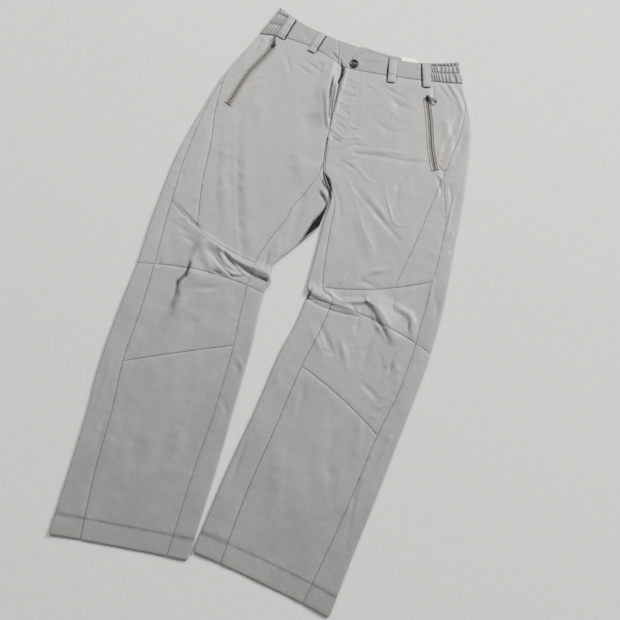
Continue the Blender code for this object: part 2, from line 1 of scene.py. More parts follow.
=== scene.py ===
"""Hiking trousers laid flat with the front up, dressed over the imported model.

Right and left are the wearer's. The tables are in millimetres, in the model's own frame:
X across, Y towards the waist, Z up from the floor. Each leg half is a flattened tube of cloth.
A place on it is a loop length (0 at the outer edge, + on the front) and a row number.
"""

import logging
import math
from dataclasses import dataclass, field, replace
from enum import Enum
from typing import Callable, Sequence

import bmesh
import bpy
import numpy as np
from mathutils import Matrix, Vector
from mathutils.bvhtree import BVHTree


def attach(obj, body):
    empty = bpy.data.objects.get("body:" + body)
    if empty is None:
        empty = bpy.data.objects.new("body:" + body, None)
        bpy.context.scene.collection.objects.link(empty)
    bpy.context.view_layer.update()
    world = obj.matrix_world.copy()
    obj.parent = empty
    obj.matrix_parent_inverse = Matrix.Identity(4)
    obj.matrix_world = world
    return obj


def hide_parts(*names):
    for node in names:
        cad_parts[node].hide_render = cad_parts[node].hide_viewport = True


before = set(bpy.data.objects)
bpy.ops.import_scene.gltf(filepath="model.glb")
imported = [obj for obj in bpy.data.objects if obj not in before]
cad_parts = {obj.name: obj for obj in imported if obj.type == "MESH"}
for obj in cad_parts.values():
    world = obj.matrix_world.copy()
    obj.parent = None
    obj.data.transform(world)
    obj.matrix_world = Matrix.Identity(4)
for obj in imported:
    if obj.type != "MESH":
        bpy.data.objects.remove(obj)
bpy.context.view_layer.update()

LOG = logging.getLogger("trousers")
MM = 0.001
Plan = tuple[float, float]
Colour = tuple[float, float, float]

# Cloth wall, shell and seam sizes, in mm.
CLOTH = 1.2
SHELL = 0.55
BACK_SHELL = 0.45
SEAM_GAP = 0.4
SEAM_COLUMNS = (0.8, 2.2)
FOLDED_EASE = 0.05
LEAST_STEP = 0.35
LEAST_LAYER_GAP = 0.15
FLOOR_CLEARANCE = 0.02

# The flattened tube: its folded edge, and how its front settles onto its back.
EDGE_RADIUS = 2.6
LAYER_RISE = 3.1
SETTLE_REACH = 38.0
ARC_SHARE = math.pi / 2 - 1.0
ARC = math.pi / 2 * EDGE_RADIUS
OPEN_SIDE = 300.0
TIP_WIDTH = 1.6
CROTCH_EASE = 1.3

# Folds: the least distance off their line, the blend of their stretches, and their painted shade.
LEAST_AWAY = 0.6
TURN_BLEND = 1.5
BLEND_POWER = 6.0
DEEP_SHARE = 1.8
LAMP_SIDE = (0.57, 0.82)
SHADE_SHARE = 0.4

# The turned hem: where its line lies over the hem, the line's reach and its shade.
HEM_TURN, HEM_LINE, HEM_SHADE = 34.5, 0.9, 0.4

# Rows of the tables where seams lie.
WAIST, ZIP_END, CROTCH = 1, 3, 4
UPPER_KNEE, LOWER_KNEE, SLANT, HEM = 8, 10, 12, 15
STEP_ROWS = 0.002


class Side(Enum):
    """The wearer's side, with the sign of its X."""

    RIGHT = -1.0
    LEFT = 1.0

    @property
    def word(self) -> str:
        """The side's name in piece names."""
        return self.name.lower()


class Crest(Enum):
    """How a fold's section looks."""

    SOFT = "soft"
    ROUND = "round"
    SHARP = "sharp"


@dataclass(frozen=True)
class Row:
    """One line across a half, from its outer edge to its inner edge or the fly.

    bow is how far its middle lies nearer the waist. diagonal, side and inseam are the seams'
    distances from their edges. closed is 1 where the inner edge is folded and 0 at the fly.
    """

    name: str
    outer_x: float
    outer_y: float
    inner_x: float
    inner_y: float
    bow: float
    diagonal: float
    side: float
    inseam: float
    closed: float


RIGHT_ROWS = (
    Row("band top", -194, 537, -38, 508, -8, -45, -45, 0, 0),
    Row("waist seam", -215, 468, -36, 453, 17, -20, -20, 0, 0),
    Row("hip", -251, 372, -29, 380, 4, 1, 1, 0, 0),
    Row("zip end", -267, 292, -20, 302, 0, 22, 5, 0, 0),
    Row("crotch", -278, 222, -8, 234, 0, 47, 12, 3, 1),
    Row("inner thigh", -282, 182, 19, 184, -2, 57, 15, 44, 1),
    Row("parting", -284, 148, 20, 134, -8, 65, 18, 62, 1),
    Row("low thigh", -284, 124, -8, 78, -16, 75, 21, 52, 1),
    Row("upper knee seam", -284, 102, -40, 22, -22, 88, 24, 33, 1),
    Row("knee", -283, 30, -33, -6, -2, 27, 27, 38, 1),
    Row("lower knee seam", -279, -46, -38, -28, 14, 30, 30, 34, 1),
    Row("below knee", -280, -142, -35, -76, 8, 38, 38, 33, 1),
    Row("slant seam", -277, -243, -29, -122, 2, 41, 41, 34, 1),
    Row("shin", -267, -330, -23, -232, 0, 43, 43, 33, 1),
    Row("low shin", -260, -430, -17, -360, 0, 44, 44, 38, 1),
    Row("hem", -254, -537, -14, -506, 0, 54, 54, 36, 1),
)

LEFT_ROWS = (
    Row("band top", 178, 535, -34, 508, -16, -45, -45, 0, 0),
    Row("waist seam", 198, 492, -36, 453, -4, -12, -12, 0, 0),
    Row("hip", 238, 408, -29, 380, 0, 16, 16, 0, 0),
    Row("zip end", 258, 300, -20, 302, 0, 43, 43, 0, 0),
    Row("crotch", 268, 218, -8, 234, 0, 61, 28, 3, 1),
    Row("inner thigh", 271, 178, 21, 184, 0, 68, 24, 9, 1),
    Row("parting", 275, 140, 24, 134, -6, 77, 25, 14, 1),
    Row("low thigh", 277, 122, 28, 74, -12, 86, 27, 19, 1),
    Row("upper knee seam", 278, 106, 32, 12, -16, 95, 29, 29, 1),
    Row("knee", 284, 28, 38, 0, 0, 32, 32, 40, 1),
    Row("lower knee seam", 284, -42, 38, -12, 15, 31, 31, 46, 1),
    Row("below knee", 278, -132, 34, -64, 12, 30, 30, 46, 1),
    Row("slant seam", 269, -232, 23, -122, 13, 39, 39, 48, 1),
    Row("shin", 262, -312, 14, -228, 6, 40, 40, 46, 1),
    Row("low shin", 252, -410, 0, -350, 3, 42, 42, 46, 1),
    Row("hem", 242, -520, -11, -490, 2, 49, 49, 50, 1),
)

SIDE_TIP = {Side.RIGHT: 2 + 1 / 3, Side.LEFT: 3.0}


@dataclass(frozen=True)
class Fold:
    """A ridge (or, with a negative rise, a trough) along a line of plan points.

    rise has one value per point; left and right are its reaches, seen along the line, as one
    value or one per point. tuck is how far the fold leans over in plan per mm of its height.
    shade is painted shade: how far the cloth's colour is darkened along the fold, standing in for the shade
    where it turns under itself.
    """

    name: str
    points: tuple[Plan, ...]
    rise: tuple[float, ...]
    left: float | tuple[float, ...]
    right: float | tuple[float, ...]
    crest: Crest = Crest.SOFT
    marked: bool = True
    tuck: Plan = (0.0, 0.0)
    shade: float = 0.0

    def reaches(self) -> tuple[np.ndarray, np.ndarray]:
        """Left and right reach at each point."""
        count = len(self.points)
        left, right = np.broadcast_to(self.left, count), np.broadcast_to(self.right, count)
        return left.astype(float), right.astype(float)

    def lean(self) -> np.ndarray:
        """Step from the line where a crease shades or shines to its own middle."""
        left, right = self.reaches()
        share = SHADE_SHARE if self.marked else 0.0
        return -share * (left.mean() + right.mean()) / 2 * np.array(LAMP_SIDE)

    def height(self, x: np.ndarray, y: np.ndarray) -> np.ndarray:
        """Height that the fold adds at plan points.

        Args:
            x: places across, in mm.
            y: places along, in mm.

        Returns:
            One height in mm for each point.
        """
        added = np.zeros_like(x)
        left, right = self.reaches()
        furthest = max(left.max(), right.max())
        spots = np.array(self.points, float) + self.lean()
        low, high = spots.min(axis=0) - furthest, spots.max(axis=0) + furthest
        near = (x > low[0]) & (x < high[0]) & (y > low[1]) & (y < high[1])
        if not near.any():
            return added
        px, py = x[near], y[near]
        total, reach, rise = np.zeros_like(px), np.zeros_like(px), np.zeros_like(px)
        for i in range(len(spots) - 1):
            (ax, ay), (bx, by) = spots[i], spots[i + 1]
            dx, dy = bx - ax, by - ay
            length = math.hypot(dx, dy)
            t = np.clip(((px - ax) * dx + (py - ay) * dy) / length**2, 0, 1)
            gap = np.hypot(px - ax - t * dx, py - ay - t * dy)
            away = np.hypot(gap, LEAST_AWAY)
            turn = (dx * (py - ay) - dy * (px - ax)) / (length * away)
            on_left = 0.5 + 0.5 * np.clip(TURN_BLEND * turn, -1, 1)
            weight = away**-BLEND_POWER
            over_left = left[i] + t * (left[i + 1] - left[i])
            over_right = right[i] + t * (right[i + 1] - right[i])
            total += weight
            reach += weight * (over_right + on_left * (over_left - over_right))
            rise += weight * (self.rise[i] + t * (self.rise[i + 1] - self.rise[i]))
        t = np.clip(total ** (-1 / BLEND_POWER) * total / reach, 0, 1)
        rise = rise / total
        if self.crest is Crest.SOFT:
            shape = ease(1 - t)
        elif self.crest is Crest.ROUND:
            shape = (1 - t * t) ** 2
        else:
            shape = (1 - t) ** 1.7
        added[near] = rise * shape
        return added

    def darkness(self, x: np.ndarray, y: np.ndarray) -> np.ndarray:
        """Painted shade that the fold puts into the cloth's colour at plan points."""
        depth = np.abs(self.height(x, y)) / max(abs(r) for r in self.rise)
        return self.shade * np.minimum(DEEP_SHARE * depth, 1.0)


def ease(t: np.ndarray) -> np.ndarray:
    """Eases from 0 to 1."""
    t = np.clip(t, 0.0, 1.0)
    return t * t * (3.0 - 2.0 * t)


MAIN_FOLDS = (
    Fold("right knee edge", ((-208, 55), (-172, 41), (-142, 28)), (1.0, 3.5, 4.5), 6,
         (20, 26, 18), marked=False),
    Fold("right knee roll", ((-142, 30), (-112, 19), (-84, 13), (-60, 9), (-40, 7)),
         (2.2, 3.4, 4.2, 5.0, 5.6), (12, 14, 16, 17, 16), (8, 10, 12, 15, 15), marked=False,
         tuck=(0.0, -0.08)),
    Fold("right knee middle", ((-138, 16), (-122, 4), (-104, -3)), (1.2, 2.0, 1.2), (6, 7, 6),
         (6, 7, 6), marked=False),
    Fold("right knee cup", ((-154, 10), (-136, -6), (-114, -13), (-92, -9)), (0, 2.2, 2.6, 0.6),
         (9, 10, 9, 8), (8, 8, 8, 7), marked=False),
    Fold("right knee ridge", ((-176, 22), (-160, 4), (-148, -10), (-134, -20)), (1, 3, 2.5, 0),
         (12, 14, 12, 10), (12, 14, 12, 10), marked=False),
    Fold("right knee drop", ((-172, 24), (-180, -8), (-179, -32), (-189, -54), (-186, -84),
                             (-194, -150)),
         (2.5, 4, 8, 6.5, 3.5, 0), (30, 34, 38, 36, 34, 30), (16, 14, 6, 6, 9, 9), marked=False,
         tuck=(-0.5, 0.0)),
    Fold("right thigh wave", ((-205, 300), (-158, 180), (-110, 62)), (0, 3, 1), 34, 20,
         marked=False),
    Fold("right fly puff", ((-55, 450), (-47, 396), (-40, 350), (-30, 318)), (4, 7.5, 5, 0),
         (11, 11, 10, 8), (34, 34, 30, 24), marked=False),
    Fold("left knee roll", ((40, 3), (66, -2), (92, -6), (115, -7), (135, -9)),
         (4, 3.6, 3.2, 2.6, 1.4), (20, 20, 18, 14, 10), (11, 10, 9, 8, 7), marked=False,
         tuck=(0.0, -0.2)),
    Fold("left knee fold", ((106, 6), (128, 10), (144, 18)), (1.2, 2.4, 3), (7, 8, 8), (7, 8, 8),
         marked=False),
    Fold("left knee drop", ((147, 22), (163, 14), (176, -1), (189, -15), (209, -33)),
         (3, 5.2, 6.4, 6, 2.4), (24, 30, 34, 34, 26), (10, 14, 17, 20, 20), marked=False,
         tuck=(-0.32, -0.32)),
    Fold("left knee outer", ((202, 20), (226, 14), (236, 3), (238, -12), (247, -29)),
         (0.8, 2.4, 2.8, 2.2, 0), (12, 12, 12, 12, 10), (6, 7, 7, 7, 7), marked=False),
    Fold("left knee soft", ((134, -14), (126, -60), (120, -120)), (0, -1.2, 0), 18, 18,
         marked=False),
    Fold("left hip wave", ((70, 190), (110, 130), (150, 70)), (0, 1.6, 0), 18, 18, marked=False),
)

# Painted shadow: the cloth in the fly's gap is darkened to black.
FLY_GAP = Fold(
    "fly gap", ((-45, 472), (-42, 464), (-38.5, 456), (-35.5, 449), (-33.5, 438), (-33.6, 430), (-35, 421),
                (-32, 415), (-30.5, 403), (-29, 387), (-26, 360)),
    (-3, -4, -7, -9, -9, -9, -8, -5, -3.4, -2.6, 0),
    (2.6, 3.6, 4.6, 5, 5, 4.8, 4.2, 3, 2.6, 2.4, 2), (2.6, 3.6, 4.6, 5, 5, 4.8, 4.2, 3, 2.6, 2.4, 2),
    Crest.ROUND, marked=False, shade=1.0)

# Painted shade at the crotch: dark outline, hollow, crumple and tuck where it lies in shadow.
CROTCH_FOLDS = (
    Fold("crotch outline", ((-8, 231), (-2, 226), (7, 220), (13, 211), (17.5, 199), (21, 186),
                            (21.5, 173)),
         (-0.8, -1.4, -2.0, -2.6, -2.8, -2.8, -2.4), 4.4, 4.4, Crest.ROUND, marked=False, shade=0.97),
    Fold("crotch hollow", ((-4, 222), (3, 212), (8, 203)), (-0.6, -1.4, -1.0), 10, 8, marked=False,
         shade=0.8),
    Fold("crotch crumple", ((-6, 214), (4, 207), (12, 200)), (-1.2, -2.0, -1.2), 2.6, 2.6,
         Crest.SHARP, marked=False, shade=0.9),
    Fold("crotch ridge", ((-2, 199), (8, 192), (17, 185)), (1.2, 2.8, 2.0), 3, 3, Crest.SHARP,
         marked=False),
    Fold("crotch tuck", ((-2, 192), (5, 186), (13, 179), (18, 172)), (-0.6, -2.2, -2.0, -1.0), 4.6, 4.6,
         marked=False, shade=0.85),
)

RIGHT_CREASES = (
    Fold("thigh band", ((-200, 324), (-177, 244), (-152, 166), (-123, 93), (-92, 25)),
         (0, -1.6, -2.2, -1.8, -0.6), 16, 10, shade=0.07),
    Fold("thigh band light", ((-213, 298), (-194, 217), (-171, 139), (-144, 75)),
         (0, 1.5, 1.8, 0.4), 18, 14, Crest.ROUND),
    Fold("hip crease", ((-203, 363), (-180, 380), (-164, 394)), (-0.3, -1.4, 0), 7, 9),
    Fold("front soft", ((-192, 417), (-165, 336), (-146, 254)), (0, 1.6, 0), 22, 26),
    Fold("front soft trough", ((-150, 430), (-132, 372), (-128, 300)), (0, -1.3, 0), 18, 22),
    Fold("thigh right soft", ((-101, 379), (-60, 326), (-24, 251)), (0, -1.2, 0), 22, 16),
    Fold("thigh inner light", ((-84, 300), (-52, 240), (-36, 190)), (0, 1.4, 0), 22, 16),
    Fold("inner wrap valley", ((-25, 176), (-22, 136), (-18, 76)), (-1.6, -2.4, -0.5), 9, 13),
    Fold("inner low ridge", ((-50, 88), (-38, 56), (-40, 34)), (0, 2.2, 1.0), 8, 7, Crest.SHARP),
    Fold("outer upper crease", ((-225, 35), (-198, 27)), (0, -1.5), 6, 6),
    Fold("knee outer soft", ((-246, 11), (-240, -31)), (0, -1.2), 8, 8),
    Fold("knee valley foot", ((-172, -120), (-178, -176)), (-0.6, 0), 8, 8),
    Fold("lower knee shade", ((-158, -41), (-140, -113), (-135, -159)), (0, -1.4, 0), 16, 20),
    Fold("lower knee light", ((-92, -60), (-88, -130)), (0.9, 0.3), 22, 22, Crest.ROUND),
    Fold("inner strip crease", ((-53, -165), (-36, -171), (-37, -190)), (0, -1.6, 0), 5, 6),
    Fold("inner strip ridge", ((-54, -150), (-38, -158), (-26, -176)), (0, 1.8, 0.6), 6, 6, Crest.SHARP),
    Fold("inner strip low", ((-50, -226), (-34, -246), (-32, -280)), (0, -1.2, 0), 7, 7),
    Fold("shin soft one", ((-181, -240), (-161, -344), (-145, -445)), (0, -1.5, 0), 24, 20),
    Fold("shin soft two", ((-114, -219), (-95, -323), (-80, -424)), (0, 1.5, 0), 22, 26),
    Fold("shin soft three", ((-222, -260), (-206, -350), (-196, -440)), (0, 1.1, 0), 14, 20),
    Fold("outer strip crease", ((-233, -294), (-228, -365), (-236, -421)), (0, -1.5, 0), 6, 9),
    Fold("outer strip wave", ((-262, -190), (-256, -250), (-250, -320)), (0, 1.3, 0), 8, 8),
    Fold("under band one", ((-127, 434), (-94, 422)), (-0.2, -1.2), 5, 7),
    Fold("under band two", ((-124, 451), (-89, 438), (-58, 425)), (0, -1.4, 0), 5, 6),
    Fold("under band three", ((-150, 448), (-132, 420), (-126, 394)), (-0.9, -0.9, 0), 6, 9),
    Fold("under band four", ((-76, 446), (-70, 404)), (-1.0, 0), 8, 8),
    Fold("elastic foot one", ((-206, 458), (-213, 428), (-217, 404)), (-1.6, -1.2, 0), 4, 5),
    Fold("elastic foot two", ((-191, 463), (-192, 440), (-194, 421)), (-1.6, -1.2, 0), 4, 5),
    Fold("elastic foot three", ((-199, 462), (-203, 440), (-206, 424)), (1.3, 1.0, 0), 4, 4),
    Fold("elastic foot four", ((-218, 448), (-226, 418), (-232, 392)), (0.8, 1.6, 0), 6, 6),
    Fold("zip outer pleat", ((-206, 430), (-220, 398), (-232, 360)), (0, 1.8, 0), 7, 7),
    Fold("side soft", ((-246, 300), (-240, 230), (-238, 160)), (0, 1.2, 0), 12, 14),
    Fold("side low", ((-262, 210), (-258, 150), (-256, 110)), (0, -1.2, 0), 9, 9),
    Fold("knee seam crease", ((-260, 92), (-233, 78), (-215, 68), (-195, 57), (-178, 48)),
         (-0.3, -1.3, -1.8, -2.4, 0), 5, 6, Crest.SHARP, shade=0.2),
    Fold("knee crest", ((-208, 60), (-183, 50), (-162, 45), (-137, 32), (-110, 18), (-87, 14),
                        (-59, 14), (-42, 20)),
         (0.2, 1.0, 1.2, 1.5, 1.6, 1.5, 1.4, 0.4), 5, 6, Crest.SHARP),
    Fold("knee fan", ((-138, 29), (-123, 16), (-110, 8), (-99, 3)), (-0.4, -2.0, -2.4, -0.4), 4, 4,
         Crest.SHARP, shade=0.15),
    Fold("knee under roll", ((-108, 13), (-84, 6), (-62, -1), (-42, -3)), (0, -0.5, -0.9, -3.0),
         4, 4, Crest.ROUND, shade=0.55),
    Fold("knee crescent", ((-120, -4), (-104, -10), (-90, -6)), (0.3, 1.8, 0.5), 4, 4, Crest.SHARP),
    Fold("knee low curve", ((-160, 18), (-141, 6), (-123, -6), (-104, -14), (-90, -11), (-77, -2)),
         (0, -1.6, -2.4, -2.6, -2.2, -0.6), 4, 4, Crest.SHARP, shade=0.15),
    Fold("knee pleat a", ((-150, 34), (-136, 16), (-124, 2)), (0, 1.3, 0), 3, 3, Crest.SHARP),
    Fold("knee pleat b", ((-132, 24), (-116, 8), (-98, -2)), (0, -1.4, 0), 3, 3, Crest.SHARP,
         shade=0.12),
    Fold("knee pleat c", ((-116, 14), (-100, 4), (-82, -5), (-66, -8)), (0, 1.6, 1.4, 0), 3, 3,
         Crest.SHARP),
    Fold("knee pleat d", ((-96, 8), (-82, 2), (-66, -2), (-50, -2)), (0, -1.5, -1.5, 0), 3, 3,
         Crest.SHARP, shade=0.15),
    Fold("knee pleat e", ((-72, 8), (-58, 5), (-44, 7)), (0, -1.4, -1.8), 2.6, 2.6, Crest.SHARP,
         shade=0.35),
    Fold("knee dimple", ((-139, -15), (-127, -17)), (-1.3, -1.3), 4, 4, shade=0.3),
    Fold("knee gash", ((-184, -14), (-186, -39), (-195, -54), (-197, -66)), (-1.0, -3.6, -2.6, 0),
         6.5, 5, Crest.ROUND, shade=0.75),
    Fold("knee gash above", ((-188, 32), (-190, 10), (-194, -11)), (0, -1.5, 0), 7, 6, shade=0.2),
    Fold("knee gash below", ((-191, -60), (-187, -78), (-188, -103), (-182, -130)),
         (-0.8, -1.6, -1.3, 0), 8, 8, shade=0.25),
    Fold("knee gash light", ((-176, -70), (-174, -96), (-176, -120)), (0.2, 1.2, 0), 9, 8),
    Fold("fold foot shade", ((-168, -57), (-138, -46), (-106, -35)), (-0.4, -1.4, 0), 10, 9),
    Fold("outer bump", ((-240, 55), (-234, 65), (-222, 64), (-212, 56)), (1.0, 1.8, 1.6, 0.4), 5, 5),
    Fold("outer bump under", ((-240, 47), (-222, 44), (-202, 38)), (0, -1.5, 0), 6, 6),
    Fold("inner low crease", ((-56, 60), (-53, 44), (-52, 26)), (0, -1.8, -1.2), 6, 6, shade=0.2),
    *CROTCH_FOLDS,
    # Painted shadow: the right leg's inner edge reaches into the opening between the legs and is darkened
    # to black there.
    Fold("crotch opening", ((21, 180), (20.5, 166), (19.6, 153), (16.5, 140), (11, 127.6),
                            (5.8, 114.8), (-0.4, 100), (-5.6, 84), (-10, 70)),
         (-2.0, -4, -6, -6, -6, -5, -3.4, -2.2, -1.4), (5, 6, 8, 11, 11, 8, 5.4, 4, 3),
         (5, 6, 8, 11, 11, 8, 5.4, 4, 3), Crest.ROUND, marked=False, shade=1.0),
    FLY_GAP,
    Fold("fly foot shade", ((-41, 413), (-38, 395), (-35, 375), (-31, 350), (-27, 332)),
         (-0.6, -1.2, -1.2, -1.0, 0), 6, 5, Crest.ROUND, marked=False, shade=0.8),
    Fold("fly dark strip", ((-47, 424), (-45, 405), (-42.5, 387), (-40, 370)),
         (-1.4, -2.2, -1.8, -0.4), 4.4, 4.4, marked=False, shade=0.95),
    Fold("fly band foot", ((-63, 478), (-54, 470), (-47, 465)), (-0.6, -1.2, -0.6), 3.4, 3.4,
         marked=False, shade=0.7),
    Fold("fly light ridge", ((-41, 374), (-34, 348), (-26, 328)), (0.3, 2.0, 0.4), 4, 3,
         Crest.SHARP),
    Fold("fly side crease", ((-29, 366), (-25, 343), (-20, 318)), (-1.6, -2.4, -0.6), 3, 4,
         Crest.SHARP, shade=0.5),
    Fold("fly wide dark", ((-58, 392), (-52, 376), (-40, 346), (-32, 326), (-24, 312)),
         (0, -1.0, -1.5, -1.6, 0), 6, 5, Crest.ROUND, marked=False, shade=0.42),
    Fold("puff crest", ((-56, 462), (-52, 430), (-50, 400)), (0.3, 1.2, 0.3), 6, 7, Crest.ROUND),
    # Painted shadows beside the belt loops.
    Fold("loop one gap", ((-155.2, 526), (-164.2, 474)), (-0.8, -0.8), 3.6, 3, Crest.ROUND,
         marked=False, shade=0.9),
    Fold("loop two gap", ((-88, 513), (-92.5, 490), (-97, 466)), (-0.8, -0.7, -0.4), 4, 3,
         Crest.ROUND, marked=False, shade=0.95),
    Fold("band dent one", ((-140, 507), (-126, 500), (-114, 486)), (-0.4, -1.0, -0.3), 6, 6),
    Fold("band dent two", ((-128, 512), (-112, 505), (-108, 488)), (0.2, 0.8, 0.2), 5, 5),
)

